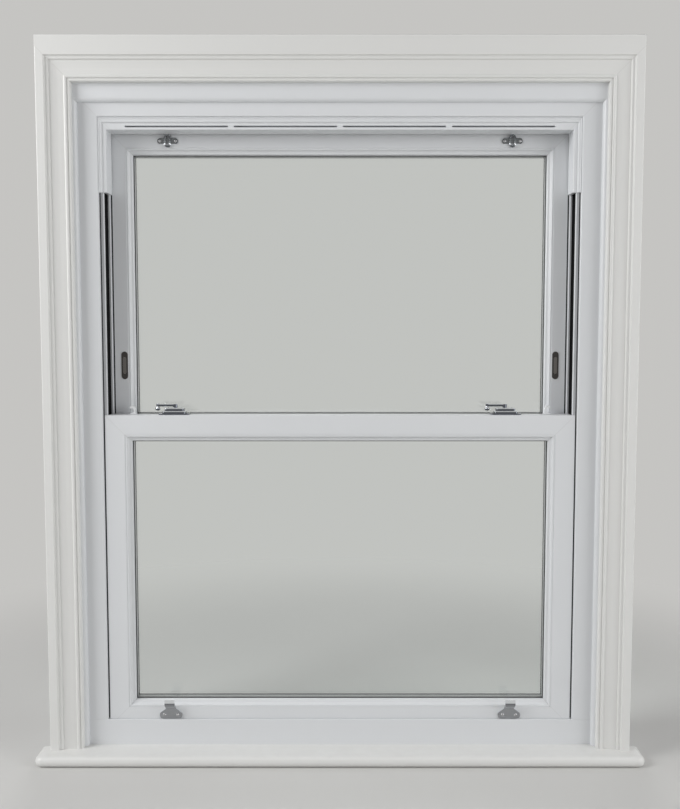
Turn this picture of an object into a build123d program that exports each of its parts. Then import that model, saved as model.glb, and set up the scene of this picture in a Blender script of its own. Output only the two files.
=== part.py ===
from build123d import *
import math
import os

# Vertical sliding sash window with its box frame, moulded surround and window board.
# X runs to the right as seen from the room, Y outdoors and Z up, all in millimetres.
# Widths are taken from the centre line and heights from the foot of the sub-cill.
# Depths are taken from the wall's face, where the surround is fixed, and grow outdoors.

# Box frame: two channels in each jamb, parted by a web
frame_width = 1090.0
frame_top = 1363.5
frame_foot = 14.0
frame_face = 10.0
frame_depth = 125.0
frame_bar_face = 66.0
frame_edge_round = 3.0
front_lip = 8.0
guide_reach = 8.0
guide_lip = 8.0
guide_slope = 2.0
guide_slope_run = 5.0
inner_channel = 26.0
outer_channel = 14.0
web_reach = 11.5
web_thickness = 10.0
outer_guide_reach = 8.5
outer_guide_lip = 7.5
outer_lip = 6.5
outer_lip_reach = 7.0
outer_nose_reach = 14.0
outer_nose_slope = 3.5
fixing_radius = 4.25
fixing_rise = 186.0
fixing_spacing = 340.0
fixing_count = 4
fixing_setback = 24.0

# Frame cill under both sashes
cill_face_top = 75.0
cill_upstand = 3.5
inner_track_floor = 57.0
middle_upstand_top = 62.0
outer_track_floor = 52.0
cill_outer_edge = 44.0

# Sub-cill on the outer leaf of the wall
sub_cill_front = 30.0
sub_cill_projection = 40.0
sub_cill_nose = 16.0
sub_cill_upstand = 22.0
drip_width = 6.0
drip_depth = 4.0

# Sashes
sash_depth = 42.0
sash_setback = 4.5
sash_spacing = 50.0
sash_gap = 2.0
side_gap = 3.0
body_gap = 1.5
flange_thickness = 2.5
lower_face = 40.0
lower_sash_foot = 60.0
meeting_top = 706.0
meeting_lap = 44.0
upper_sash_drop = 22.5
leg_bevel = 1.5
sash_travel = 444.0
stop_gap = 1.0

# Glazing
bead_width = 13.0
bead_depth = 15.0
bead_setback = 0.8
bead_mitre_gap = 0.1
gasket = 1.5
gasket_sight = 1.5
gasket_width = 8.5
pane = 4.0
pane_gap = 12.0
glass_edge_gap = 4.0
spacer_inset = 2.0
spacer_width = 8.0

# Interlocks of the meeting rails, open around each fastener and pole eye
interlock_end_gap = 2.5
interlock_wall = 1.6
interlock_arm = 3.0
interlock_leg = 15.0
interlock_standoff = 2.0
interlock_rear_gap = 1.5
lower_interlock_drop = 1.0
upper_interlock_rise = 22.0
interlock_notch = 32.0

# Moulded surround
surround_overlap = 46.0
surround_rise = 83.5
surround_section = 65.6
surround_depth = 22.0
surround_band = 17.0
head_extra_band = 20.9

# Linings on the frame's face, inside the surround
lining_width = 27.0
lining_head_height = 60.0
lining_head_drop = 38.5
lining_round = 8.0

# Window board
board_horn = 24.0
board_thickness = 22.0
board_projection = 56.0
board_nose_round = 10.4
board_horn_round = 14.0

# Head vent strip and channel covers, which fill the inner track above the lower sash
vent_reach = 24.5
cover_reach = 16.0
cover_front = 1.5
cover_face = 6.0
vent_slots = 4
vent_slot_length = 205.0
vent_slot_height = 3.5
vent_slot_gap = 11.0
vent_slot_above_soffit = 5.0
vent_slot_depth = 14.0
cover_neck_gap = 0.3
stop_reach = 6.0
stop_flange = 4.0
stop_side_gap = 0.3
stop_back_gap = 0.5

# Brush seals
seal_width = 3.0
seal_gap = 0.2
seal_lap = 1.0

# Balances in the channels
tube_radius = 7.0
tube_bore = 5.2
rod_radius = 4.0
rod_clearance = 0.1
rod_guide = 20.0
rod_socket = 7.0
shoe_height = 60.0
shoe_gap = 0.5
shoe_rise = 2.0
shoe_round = 1.5
pivot_radius = 5.0
pivot_length = 3.0
tube_head = 12.0
tube_top_drop = 17.5
tube_foot_gap = 9.0
rod_engagement = 65.0
rod_top_gap = 26.0
inner_tube_wall_gap = 9.0
outer_tube_wall_gap = 6.0
tube_screw_length = 36.0

# Hook lifts on the bottom rail
lift_inset = 126.5
lift_foot = 75.5
lift_width = 46.0
lift_shoulder = 12.5
lift_neck_width = 17.0
lift_neck_height = 23.0
lift_tab_width = 20.5
lift_thickness = 3.0
lift_reach = 17.5
lift_rise = 27.5
lift_height = 45.5
lift_bend = 4.0
lift_screw_spacing = 26.5
lift_screw_rise = 8.5

# Cam fasteners on the meeting rails
fastener_inset = 137.5
fastener_length = 62.0
fastener_width = 29.0
fastener_back_gap = 1.5
fastener_plate = 2.4
casing_height = 11.0
casing_length = 46.8
casing_width = 26.5
casing_top_length = 30.0
casing_top_width = 18.5
pivot_setback = 6.5
cam_radius = 16.5
cam_small_radius = 12.0
cam_thickness = 3.0
cam_hub_radius = 6.0
cam_rise = 1.2
cam_gap = 0.4
spindle_radius = 2.5
spindle_clearance = 0.08
lever_hub_radius = 4.5
lever_hub_height = 6.5
lever_length = 36.0
lever_width = 6.0
lever_thickness = 3.0
knob_radius = 5.0
knob_height = 15.0
fastener_screw_spacing = 54.0
keeper_width = 34.0
keeper_thickness = 3.0
keeper_foot_drop = 36.0
keeper_height = 48.0
keeper_window_width = 28.0
keeper_window_gap = 1.3
keeper_screw_spacing = 20.0
keeper_screw_rise = 8.0

# Pole eyes on the top rail of the upper sash
eye_inset = 115.0
eye_drop = 15.0
eye_plate_length = 42.0
eye_plate_width = 12.0
eye_plate = 2.0
eye_width = 14.0
eye_height = 26.0
eye_wire = 4.0
eye_screw_spacing = 31.0

# Travel restrictors on the upper stiles
restrictor_inset = 20.0
restrictor_rise = 99.0
restrictor_length = 57.0
restrictor_width = 13.0
restrictor_plate = 0.9
bolt_width = 6.4
bolt_length = 34.0
bolt_depth = 14.0
bolt_clearance = 0.2

# Tilt latches in the ends of the lower top rail
latch_inset = 52.5
latch_bar_height = 8.0
latch_bar_width = 14.0
latch_bar_drop = 4.0
latch_bar_setback = 19.5
latch_bar_length = 68.0
latch_engagement = 10.0
latch_bevel = 4.0
latch_stroke = 12.0
latch_stem_length = 10.0
latch_stem_width = 7.0
latch_knob_width = 11.0
latch_clearance = 0.3

# Screws
screw_head_radius = 3.2
screw_head_height = 1.6
screw_radius = 1.8
screw_length = 12.0
screw_clearance = 0.05

# Depths that follow from the sizes above
frame_back = frame_face + frame_depth
sub_cill_end = frame_back + sub_cill_projection
wall_y = (board_projection - sub_cill_end) / 2
guide_front = frame_face + front_lip
guide_back = guide_front + guide_lip
inner_channel_front = guide_back + guide_slope
lower_front = frame_face + sash_setback
lower_back = lower_front + sash_depth
web_front = lower_back + sash_gap
web_back = web_front + web_thickness
upper_front = lower_front + sash_spacing
upper_back = upper_front + sash_depth
outer_guide_back = web_back + outer_guide_lip
outer_channel_front = outer_guide_back + guide_slope
outer_lip_front = upper_back + sash_gap
bead_seat = bead_setback + bead_depth
glass_front = bead_seat + gasket
glass_back = glass_front + 2 * pane + pane_gap
rebate = glass_back + gasket

# Half widths and heights that follow
frame_half = frame_width / 2
lip_half = frame_half - frame_bar_face
guide_half = lip_half - guide_reach
inner_floor_half = lip_half + inner_channel
web_half = lip_half - web_reach
outer_guide_half = web_half - outer_guide_reach
outer_floor_half = lip_half + outer_channel
outer_lip_half = outer_guide_half - outer_lip_reach
lower_half = lip_half - side_gap
lower_body_half = guide_half - body_gap
upper_half = web_half - side_gap
upper_body_half = outer_guide_half - body_gap
pocket_half = lower_half - lower_face
upper_face = upper_half - pocket_half
lip_top = frame_top - frame_bar_face
upper_sash_foot = meeting_top - meeting_lap
upper_sash_top = lip_top - upper_sash_drop
vent_soffit = lip_top - vent_reach
cover_foot = meeting_top + sash_travel + stop_gap
outer_stop_top = upper_sash_foot - sash_travel - stop_gap
surround_half = frame_half + surround_overlap
surround_top = frame_top + surround_rise
board_half = surround_half + board_horn
lining_head_foot = frame_top - lining_head_drop
lift_offset = lower_half - lift_inset
fastener_offset = lower_half - fastener_inset
eye_offset = upper_half - eye_inset
interlock_reach = upper_body_half - interlock_end_gap
fixing_heights = [frame_foot + fixing_rise + step * fixing_spacing for step in range(fixing_count)]

HANDS = (("left", -1), ("right", 1))
SIDES = {
    "left": (Vector(1, 0, 0), Vector(0, 0, 1)),
    "right": (Vector(-1, 0, 0), Vector(0, 0, -1)),
    "top": (Vector(0, 0, -1), Vector(1, 0, 0)),
    "bottom": (Vector(0, 0, 1), Vector(-1, 0, 0)),
}
STANDING = (Align.CENTER, Align.CENTER, Align.MIN)
HANGING = (Align.CENTER, Align.CENTER, Align.MAX)
TO_ROOM = (0, -1, 0)
UP = (0, 0, 1)


def side_view(x=0.0):
    """Sketch plane across the window at x: depth runs across and height up."""
    return Plane(origin=(x, wall_y, 0), x_dir=(0, 1, 0), z_dir=(1, 0, 0))


def plan(z):
    """Sketch plane at height z, seen from above: x runs across and depth up."""
    return Plane(origin=(0, wall_y, z))


def room_view(depth):
    """Sketch plane at a depth, seen from the room; it extrudes towards the room."""
    return Plane(origin=(0, wall_y + depth, 0), x_dir=(1, 0, 0), z_dir=TO_ROOM)


def outline(corners):
    """Closed outline in the open line sketch: each corner is its place and its rounding."""
    points = [(across, up) for across, up, _ in corners]
    FilletPolyline(points, radius=[rounding for _, _, rounding in corners], close=True)


def frame_bar(section, side, half, low, high, foot=True, reach=(1, 1), drop=0.0, gap=0.0):
    """Bar of a rectangular frame, its ends mitred against its neighbours.

    The section runs inwards from the frame's outer edge and outdoors from the wall's face.
    An upright without foot is cut square below. reach gives how wide an upright and a
    level bar are where they meet, drop how far inside the outer edge the mitre starts,
    and gap how far each end stays back from it.
    """
    inward, along = SIDES[side]
    upright = side in ("left", "right")
    edge = {"left": -half, "right": half}.get(side, 0.0)
    height = {"top": high, "bottom": low}.get(side, (low + high) / 2)
    middle = Vector(edge, wall_y, height)
    half_length = (high - low) / 2 if upright else half
    own, other = reach if upright else (reach[1], reach[0])
    with BuildPart() as bar:
        with BuildSketch(Plane(origin=middle, x_dir=inward, z_dir=along)):
            with BuildLine():
                outline(section)
            make_face()
        extrude(amount=half_length, both=True)
        for end in (-1, 1):
            corner = middle + along * (end * (half_length - gap)) + inward * drop
            if foot or corner.Z > middle.Z or not upright:
                facing = along * (-end * own) - inward * other
                split(bisect_by=Plane(origin=corner, z_dir=facing), keep=Keep.TOP)
    return bar.part


def block(x_span, depth_span, z_span):
    """Plain block between two limits each way, for pockets and small solid pieces."""
    with BuildPart() as solid:
        with BuildSketch(plan(z_span[0])):
            with Locations((sum(x_span) / 2, sum(depth_span) / 2)):
                Rectangle(abs(x_span[1] - x_span[0]), depth_span[1] - depth_span[0])
        extrude(amount=z_span[1] - z_span[0])
    return solid.part


def pane_ring(half, low, high, width, start, thickness):
    """Flat rectangular ring parallel to the glass, or a whole pane where width is None."""
    with BuildPart() as ring:
        with BuildSketch(room_view(start)):
            with Locations((0, (low + high) / 2)):
                Rectangle(2 * half, high - low)
                if width is not None:
                    Rectangle(2 * (half - width), high - low - 2 * width, mode=Mode.SUBTRACT)
        extrude(amount=-thickness)
    return ring.part


def screw(x, depth, z, facing):
    """Domed screw whose head seats at a point and looks along facing."""
    seat = Plane(origin=(x, wall_y + depth, z), z_dir=facing)
    with BuildPart(seat) as solid:
        Cylinder(screw_head_radius, screw_head_height, align=STANDING)
        fillet(solid.edges().sort_by(Axis(seat.origin, seat.z_dir))[-1], screw_head_height * 0.8)
        Cylinder(screw_radius, screw_length, align=HANGING)
    return solid.part


def pilot(x, depth, z, facing):
    """Hole for a screw, cut from the seat of its head downwards."""
    with BuildPart(Plane(origin=(x, wall_y + depth, z), z_dir=facing)) as solid:
        Cylinder(screw_radius + screw_clearance, screw_length + screw_clearance, align=HANGING)
    return solid.part


def save(piece, name):
    """Label a finished piece and write it under its own name."""
    piece.part.label = name
    export_step(piece.part, f"parts/{name}.step")


def save_group(solids, name):
    """Write the solids of one kind, or one solid, as one piece."""
    with BuildPart() as group:
        for solid in solids:
            add(solid)
    save(group, name)


def save_cut(solid, cutters, name):
    """Write a piece after its holes and pockets are cut."""
    with BuildPart() as piece:
        add(solid)
        for cutter in cutters:
            add(cutter, mode=Mode.SUBTRACT)
    save(piece, name)


os.makedirs("parts", exist_ok=True)

# Where the hardware's screws sit, each at the seat of its head
lift_screws = [
    (hand * lift_offset + shift, lower_front - lift_thickness, lift_foot + lift_screw_rise)
    for _, hand in HANDS
    for shift in (-lift_screw_spacing / 2, lift_screw_spacing / 2)
]
fastener_back = lower_back - fastener_back_gap
fastener_middle = fastener_back - fastener_width / 2
fastener_screws = [
    (hand * fastener_offset + shift, fastener_middle, meeting_top + fastener_plate)
    for _, hand in HANDS
    for shift in (-fastener_screw_spacing / 2, fastener_screw_spacing / 2)
]
eye_middle = upper_sash_top - eye_drop
eye_screws = [
    (hand * eye_offset + shift, upper_front - eye_plate, eye_middle)
    for _, hand in HANDS
    for shift in (-eye_screw_spacing / 2, eye_screw_spacing / 2)
]
keeper_foot = meeting_top - keeper_foot_drop
keeper_screws = [
    (
        hand * fastener_offset + shift,
        upper_front - keeper_thickness,
        keeper_foot + keeper_screw_rise,
    )
    for _, hand in HANDS
    for shift in (-keeper_screw_spacing / 2, keeper_screw_spacing / 2)
]

# Where the balance tubes stand in their channels
inner_tube_half = inner_floor_half - inner_tube_wall_gap - tube_radius
inner_tube_depth = (inner_channel_front + web_front) / 2
outer_tube_half = outer_floor_half - outer_tube_wall_gap - tube_radius
outer_tube_depth = (outer_channel_front + outer_lip_front) / 2
shoe_top = shoe_rise + shoe_height
tube_top = lip_top - tube_top_drop
inner_tube_foot = lower_sash_foot + shoe_top + sash_travel + tube_foot_gap
inner_rod_top = inner_tube_foot + rod_engagement
outer_tube_foot = upper_sash_foot + shoe_top + tube_foot_gap
outer_rod_top = tube_top - tube_head - rod_top_gap
tube_screw_height = tube_top - tube_head / 2
tube_screws = [
    (hand * (half - tube_radius), depth, tube_screw_height, (-hand, 0, 0))
    for half, depth in ((inner_tube_half, inner_tube_depth), (outer_tube_half, outer_tube_depth))
    for _, hand in HANDS
]

# Frame: the head and the jambs are one extruded section, mitred at the head
guide_inset = frame_half - guide_half
outer_guide_inset = frame_half - outer_guide_half
frame_section = [
    (0, frame_face, 1),
    (frame_bar_face, frame_face, frame_edge_round),
    (frame_bar_face, guide_front, 0),
    (guide_inset, guide_front, 1),
    (guide_inset, guide_back, 1),
    (guide_inset - guide_slope_run, inner_channel_front, 0),
    (frame_bar_face - inner_channel, inner_channel_front, 0),
    (frame_bar_face - inner_channel, web_front, 0),
    (frame_half - web_half, web_front, 1),
    (frame_half - web_half, web_back, 0),
    (outer_guide_inset, web_back, 1),
    (outer_guide_inset, outer_guide_back, 1),
    (outer_guide_inset - guide_slope_run, outer_channel_front, 0),
    (frame_bar_face - outer_channel, outer_channel_front, 0),
    (frame_bar_face - outer_channel, outer_lip_front, 0),
    (frame_half - outer_lip_half, outer_lip_front, 1),
    (frame_half - outer_lip_half, outer_lip_front + outer_lip, 2),
    (frame_bar_face + outer_nose_reach, outer_lip_front + outer_lip + outer_nose_slope, 2),
    (frame_bar_face + outer_nose_reach, frame_back, 4),
    (0, frame_back, 1),
]
cill_corners = [
    (frame_face, frame_foot, 1),
    (frame_face, cill_face_top, 1),
    (frame_face + cill_upstand, cill_face_top, 1),
    (frame_face + cill_upstand, inner_track_floor, 0),
    (web_front, inner_track_floor, 0),
    (web_front, middle_upstand_top, 1),
    (web_back, middle_upstand_top, 1),
    (web_back, outer_track_floor, 0),
    (frame_back, cill_outer_edge, 2),
    (frame_back, frame_foot, 1),
]
with BuildPart() as frame_cill:
    with BuildSketch(side_view()):
        with BuildLine():
            outline(cill_corners)
        make_face()
    extrude(amount=frame_half, both=True)
save(frame_cill, "frame_cill")

# What stands on the cill is cut to its outline with square corners
with BuildPart() as cill_seat:
    with BuildSketch(side_view()):
        with BuildLine():
            outline([(depth, height, 0) for depth, height, _ in cill_corners])
        make_face()
    extrude(amount=frame_half + 1, both=True)

save_group([frame_bar(frame_section, "top", frame_half, frame_foot, frame_top)], "frame_head")

jamb_foot = (frame_foot + cill_outer_edge) / 2
for side, hand in HANDS:
    with BuildPart() as frame_jamb:
        add(frame_bar(frame_section, side, frame_half, jamb_foot, frame_top, foot=False))
        add(cill_seat.part, mode=Mode.SUBTRACT)
        outer_face = Plane(
            origin=(hand * frame_half, wall_y + frame_face + fixing_setback, 0),
            x_dir=(0, 1, 0),
            z_dir=(1, 0, 0),
        )
        with BuildSketch(outer_face):
            with Locations([(0, height) for height in fixing_heights]):
                Circle(fixing_radius)
        extrude(amount=-hand * (frame_half - inner_floor_half + 1), mode=Mode.SUBTRACT)
        for x, depth, z, facing in tube_screws:
            if x * hand > 0:
                with Locations(Plane(origin=(x, wall_y + depth, z), z_dir=facing)):
                    Cylinder(
                        screw_radius + screw_clearance,
                        tube_screw_length + screw_clearance,
                        align=HANGING,
                        mode=Mode.SUBTRACT,
                    )
    save(frame_jamb, f"frame_jamb_{side}")

# Sub-cill: a seat under the frame, an upstand behind it and a nose with a drip groove
with BuildPart() as sub_cill:
    with BuildSketch(side_view()):
        with BuildLine():
            outline([
                (sub_cill_front, 0, 1),
                (sub_cill_front, frame_foot, 0),
                (frame_back, frame_foot, 0),
                (frame_back, frame_foot + sub_cill_upstand, 1),
                (frame_back + drip_width, frame_foot + sub_cill_upstand, 2),
                (frame_back + drip_width, sub_cill_nose + drip_depth, 4),
                (sub_cill_end, sub_cill_nose, 4),
                (sub_cill_end, 0, 1),
                (sub_cill_end - drip_width, 0, 0),
                (sub_cill_end - drip_width, drip_depth, 2),
                (sub_cill_end - 2 * drip_width, drip_depth, 2),
                (sub_cill_end - 2 * drip_width, 0, 0),
            ])
        make_face()
    extrude(amount=frame_half, both=True)
save(sub_cill, "sub_cill")

# Window board: rounded front edge, returned around the horns that run past the surround
with BuildPart() as window_board:
    with BuildSketch(plan(0)):
        with BuildLine():
            outline([
                (-board_half, -board_projection, board_horn_round),
                (board_half, -board_projection, board_horn_round),
                (board_half, 0, 0),
                (frame_half, 0, 0),
                (frame_half, frame_face, 0),
                (-frame_half, frame_face, 0),
                (-frame_half, 0, 0),
                (-board_half, 0, 0),
            ])
        make_face()
    extrude(amount=board_thickness)
    nose_edges = window_board.edges().filter_by(
        lambda edge: edge.center().Y < wall_y - 1 and edge.bounding_box().size.Z < 1
    )
    fillet(nose_edges, board_nose_round)
save(window_board, "window_board")

# Linings: flat strips with a rounded inner edge, mitred below the head strip's top
lining_corner = lining_head_foot + lining_width
for side, hand in HANDS:
    lining_section = [
        (0, 0, 0),
        (lining_width, 0, lining_round),
        (lining_width, frame_face, 0),
        (0, frame_face, 0),
    ]
    lining = frame_bar(
        lining_section, side, frame_half, board_thickness, lining_corner, foot=False
    )
    save_group([lining], f"lining_{side}")
head_lining_section = [
    (0, 0, 0),
    (lining_head_height, 0, lining_round),
    (lining_head_height, frame_face, 0),
    (0, frame_face, 0),
]
lining_head_top = lining_head_foot + lining_head_height
lining_head = frame_bar(
    head_lining_section,
    "top",
    frame_half,
    0,
    lining_head_top,
    drop=lining_head_height - lining_width,
)
save_group([lining_head], "lining_head")

# Surround: flat band, cove, broad face, bead and quirk; the head has a wider band
def surround_profile(extra):
    """Surround's section, from its outer edge inwards, with extra width in the band."""
    moulding = [
        (surround_band, -22.0, 0.8),
        (18.5, -18.2, 3.0),
        (24.0, -17.6, 1.6),
        (25.5, -14.2, 1.2),
        (40.0, -12.3, 30.0),
        (53.2, -12.0, 1.5),
        (54.0, -14.6, 1.4),
        (58.6, -14.6, 2.2),
        (59.6, -10.2, 0.6),
        (61.0, -12.4, 0.8),
        (surround_section - 1, -12.2, 1.2),
        (surround_section, -9.5, 1.0),
    ]
    shifted = [(inset + extra, depth, rounding) for inset, depth, rounding in moulding]
    return [
        (0, 0, 0),
        (0, -surround_depth, 2.0),
        *shifted,
        (surround_section + extra, 0, 0),
    ]


surround_corner = surround_top - head_extra_band
for side, hand in HANDS:
    upright = frame_bar(
        surround_profile(0), side, surround_half, board_thickness, surround_corner, foot=False
    )
    save_group([upright], f"architrave_{side}")
surround_head = frame_bar(
    surround_profile(head_extra_band),
    "top",
    surround_half,
    0,
    surround_top,
    drop=head_extra_band,
)
save_group([surround_head], "architrave_head")


# Vent strip at the head and covers over the inner channels: one stepped outline
def cover_profile(reach):
    """Stepped outline of a cover that clips over the guide lip and reaches to the web."""
    front = frame_face + cover_front
    face = frame_face + cover_face
    neck = reach * guide_reach / cover_reach + cover_neck_gap
    return [
        (0.025 * reach, guide_front, 0),
        (0.025 * reach, front, 0.8),
        (0.13 * reach, front, 0.8),
        (0.16 * reach, front + 1.2, 0.5),
        (0.38 * reach, front + 1.2, 0.8),
        (0.46 * reach, face, 1.0),
        (reach, face, 2.0),
        (reach, web_front, 0),
        (neck, web_front, 0),
        (neck, guide_front, 0),
    ]


vent_bar = frame_bar(
    cover_profile(vent_reach), "top", lip_half, 0, lip_top, reach=(cover_reach, vent_reach)
)
with BuildPart() as head_vent_trim:
    add(vent_bar)
    with BuildSketch(room_view(frame_face + cover_face)):
        with Locations((0, vent_soffit + vent_slot_above_soffit + vent_slot_height / 2)):
            with GridLocations(vent_slot_length + vent_slot_gap, 1, vent_slots, 1):
                SlotOverall(vent_slot_length, vent_slot_height)
    extrude(amount=-vent_slot_depth, mode=Mode.SUBTRACT)
save(head_vent_trim, "head_vent_trim")
for side, hand in HANDS:
    cover = frame_bar(
        cover_profile(cover_reach),
        side,
        lip_half,
        cover_foot,
        lip_top,
        foot=False,
        reach=(cover_reach, vent_reach),
    )
    save_group([cover], f"channel_cover_{side}")

# Stops in the outer channels, on which the upper sash ends its travel
stop_neck = upper_half - outer_guide_half
for side, hand in HANDS:
    stop_bar = frame_bar(
        [
            (0, web_back - stop_flange, 0),
            (stop_neck + stop_reach, web_back - stop_flange, 1),
            (stop_neck + stop_reach, outer_lip_front - stop_back_gap, 1),
            (stop_neck + stop_side_gap, outer_lip_front - stop_back_gap, 1),
            (stop_neck + stop_side_gap, web_back, 0),
            (0, web_back, 0),
        ],
        side,
        upper_half,
        frame_foot,
        outer_stop_top,
        foot=False,
    )
    save_cut(stop_bar, [cill_seat.part], f"outer_stop_{side}")

# Brush seals along the guide lips and on both sides of the web
seal_foot = cill_face_top + stop_gap
seals = []
for side, hand in HANDS:
    for inner, outer, start, end, low, high in (
        (guide_half + seal_lap, lip_half, lower_front + flange_thickness + seal_gap,
         guide_front, seal_foot, cover_foot - stop_gap),
        (web_half + seal_lap, web_half + seal_lap + seal_width, lower_back + seal_gap,
         web_front, seal_foot, cover_foot - stop_gap),
        (outer_guide_half + seal_lap, web_half, upper_front + flange_thickness + seal_gap,
         web_back, outer_stop_top + stop_gap, vent_soffit - stop_gap),
    ):
        seals.append(block((hand * inner, hand * outer), (start, end), (low, high)))
save_group(seals, "pile_seals")


# Balances: each rod rides in the guide at its tube's foot, and a bracket holds the tube's top
def balance_tube(half, depth, foot, floor_half, hand):
    """Tube with a narrow guide at its foot, and a bracket block back to the jamb."""
    bracket_span = (hand * (half - tube_radius), hand * floor_half)
    bracket_depth = (depth - tube_radius, depth + tube_radius)
    bracket = block(bracket_span, bracket_depth, (tube_top - tube_head, tube_top))
    with BuildPart(Plane(origin=(hand * half, wall_y + depth, foot))) as tube:
        Cylinder(tube_radius, tube_top - tube_head - foot, align=STANDING)
        Cylinder(
            rod_radius + rod_clearance,
            tube_top - tube_head - foot,
            align=STANDING,
            mode=Mode.SUBTRACT,
        )
        with Locations((0, 0, rod_guide)):
            Cylinder(
                tube_bore,
                tube_top - tube_head - foot - rod_guide,
                align=STANDING,
                mode=Mode.SUBTRACT,
            )
    with BuildPart() as whole:
        add(tube.part)
        add(bracket)
        for x, screw_depth, z, facing in tube_screws:
            with Locations(Plane(origin=(x, wall_y + screw_depth, z), z_dir=facing)):
                Cylinder(
                    screw_radius + screw_clearance,
                    tube_screw_length,
                    align=HANGING,
                    mode=Mode.SUBTRACT,
                )
    return whole.part


def balance_rod(half, depth, foot, top, hand):
    """Rod that stands in its shoe's socket."""
    with BuildPart(Plane(origin=(hand * half, wall_y + depth, foot))) as rod:
        Cylinder(rod_radius, top - foot, align=STANDING)
    return rod.part


def balance_shoe(x_span, depth_span, low, body_half, rod_place, hand):
    """Shoe that slides in its channel, with the pivot that carries the sash."""
    body = block([hand * x for x in x_span], depth_span, (low, low + shoe_height))
    pivot_place = (hand * body_half, wall_y + sum(depth_span) / 2, low + shoe_height / 2)
    rod_half, rod_depth = rod_place
    with BuildPart() as shoe:
        add(body)
        fillet(shoe.edges().filter_by(Axis.Z), shoe_round)
        with Locations(Plane(origin=pivot_place, z_dir=(hand, 0, 0))):
            Cylinder(pivot_radius, abs(x_span[0] - body_half) + 1, align=STANDING)
        socket_place = (hand * rod_half, wall_y + rod_depth, low + shoe_height)
        with Locations(Plane(origin=socket_place)):
            Cylinder(
                rod_radius + screw_clearance, rod_socket, align=HANGING, mode=Mode.SUBTRACT
            )
    return shoe.part


balances = (
    (
        "lower", "inner", inner_tube_half, inner_tube_depth, inner_tube_foot, inner_rod_top,
        inner_floor_half, lower_sash_foot, lower_body_half, inner_channel_front, web_front,
    ),
    (
        "upper", "outer", outer_tube_half, outer_tube_depth, outer_tube_foot, outer_rod_top,
        outer_floor_half, upper_sash_foot, upper_body_half, outer_channel_front,
        outer_lip_front,
    ),
)
for sash, track, half, depth, foot, rod_top, floor, sash_foot, body, front, back in balances:
    shoe_low = sash_foot + shoe_rise
    shoe_x = (body + pivot_length, floor - 1)
    shoe_depth = (front + shoe_gap, back - shoe_gap)
    rod_foot = shoe_low + shoe_height - rod_socket
    save_group(
        [balance_tube(half, depth, foot, floor, hand) for _, hand in HANDS],
        f"{track}_balance_tubes",
    )
    save_group(
        [balance_rod(half, depth, rod_foot, rod_top, hand) for _, hand in HANDS],
        f"{sash}_balance_rods",
    )
    save_group(
        [
            balance_shoe(shoe_x, shoe_depth, shoe_low, body, (half, depth), hand)
            for _, hand in HANDS
        ],
        f"{sash}_balance_shoes",
    )

tube_screw_solids = []
for x, depth, z, facing in tube_screws:
    seat = Plane(origin=(x, wall_y + depth, z), z_dir=facing)
    with BuildPart(seat) as tube_screw:
        Cylinder(screw_head_radius, screw_head_height, align=STANDING)
        Cylinder(screw_radius, tube_screw_length, align=HANGING)
    tube_screw_solids.append(tube_screw.part)
save_group(tube_screw_solids, "balance_screws")

# Tilt latches: bar, stem and thumb knob, in pockets of the top rail and the stiles
latch_low = meeting_top - latch_bar_drop - latch_bar_height
latch_high = meeting_top - latch_bar_drop
latch_depth = (lower_front + latch_bar_setback, lower_front + latch_bar_setback + latch_bar_width)
latch_middle = sum(latch_depth) / 2
latch_nose = lower_body_half + latch_engagement
latch_tail = latch_nose - latch_bar_length
knob_half = lower_half - latch_inset
latch_pockets = []
for side, hand in HANDS:
    latch_pockets.append(block(
        (hand * (latch_tail - latch_stroke - latch_clearance), hand * (lower_half + 1)),
        (latch_depth[0] - latch_clearance, latch_depth[1] + latch_clearance),
        (latch_low - latch_clearance, latch_high + latch_clearance),
    ))
    stem_room = latch_stem_length / 2 + latch_clearance
    latch_pockets.append(block(
        (hand * (knob_half - stem_room - latch_stroke), hand * (knob_half + stem_room)),
        (
            latch_middle - latch_stem_width / 2 - latch_clearance,
            latch_middle + latch_stem_width / 2 + latch_clearance,
        ),
        (latch_high, meeting_top + 1),
    ))
    bar = block((hand * latch_tail, hand * latch_nose), latch_depth, (latch_low, latch_high))
    stem = block(
        (hand * (knob_half - latch_stem_length / 2), hand * (knob_half + latch_stem_length / 2)),
        (latch_middle - latch_stem_width / 2, latch_middle + latch_stem_width / 2),
        (latch_high, meeting_top + latch_clearance),
    )
    knob_foot = meeting_top + latch_clearance
    knob_shape = [
        (-6.0, 0.0, 0.3),
        (5.0, 0.0, 0.3),
        (5.0, 2.4, 0.8),
        (-0.6, 3.4, 1.5),
        (-2.0, 6.0, 2.0),
        (-1.6, 10.0, 2.0),
        (1.2, 12.6, 1.5),
        (4.6, 11.6, 0.8),
        (6.2, 13.4, 0.8),
        (4.6, 16.6, 1.5),
        (0.6, 17.7, 2.0),
        (-4.2, 14.4, 3.0),
        (-5.6, 9.0, 3.0),
        (-4.9, 3.4, 1.5),
        (-6.0, 2.4, 0.3),
    ]
    with BuildPart() as tilt_latch:
        add(bar)
        nose_edge = tilt_latch.edges().filter_by(Axis.Z).filter_by(
            lambda edge: abs(edge.center().X) > latch_nose - 1
        ).sort_by(Axis.Y)[0]
        chamfer(nose_edge, latch_bevel)
        add(stem)
        with BuildSketch(room_view(latch_middle - latch_knob_width / 2)):
            with BuildLine():
                outline([
                    (hand * (knob_half + out), knob_foot + up, rounding)
                    for out, up, rounding in knob_shape
                ])
            make_face()
        extrude(amount=-latch_knob_width)
    save(tilt_latch, f"tilt_latch_{side}")


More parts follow.
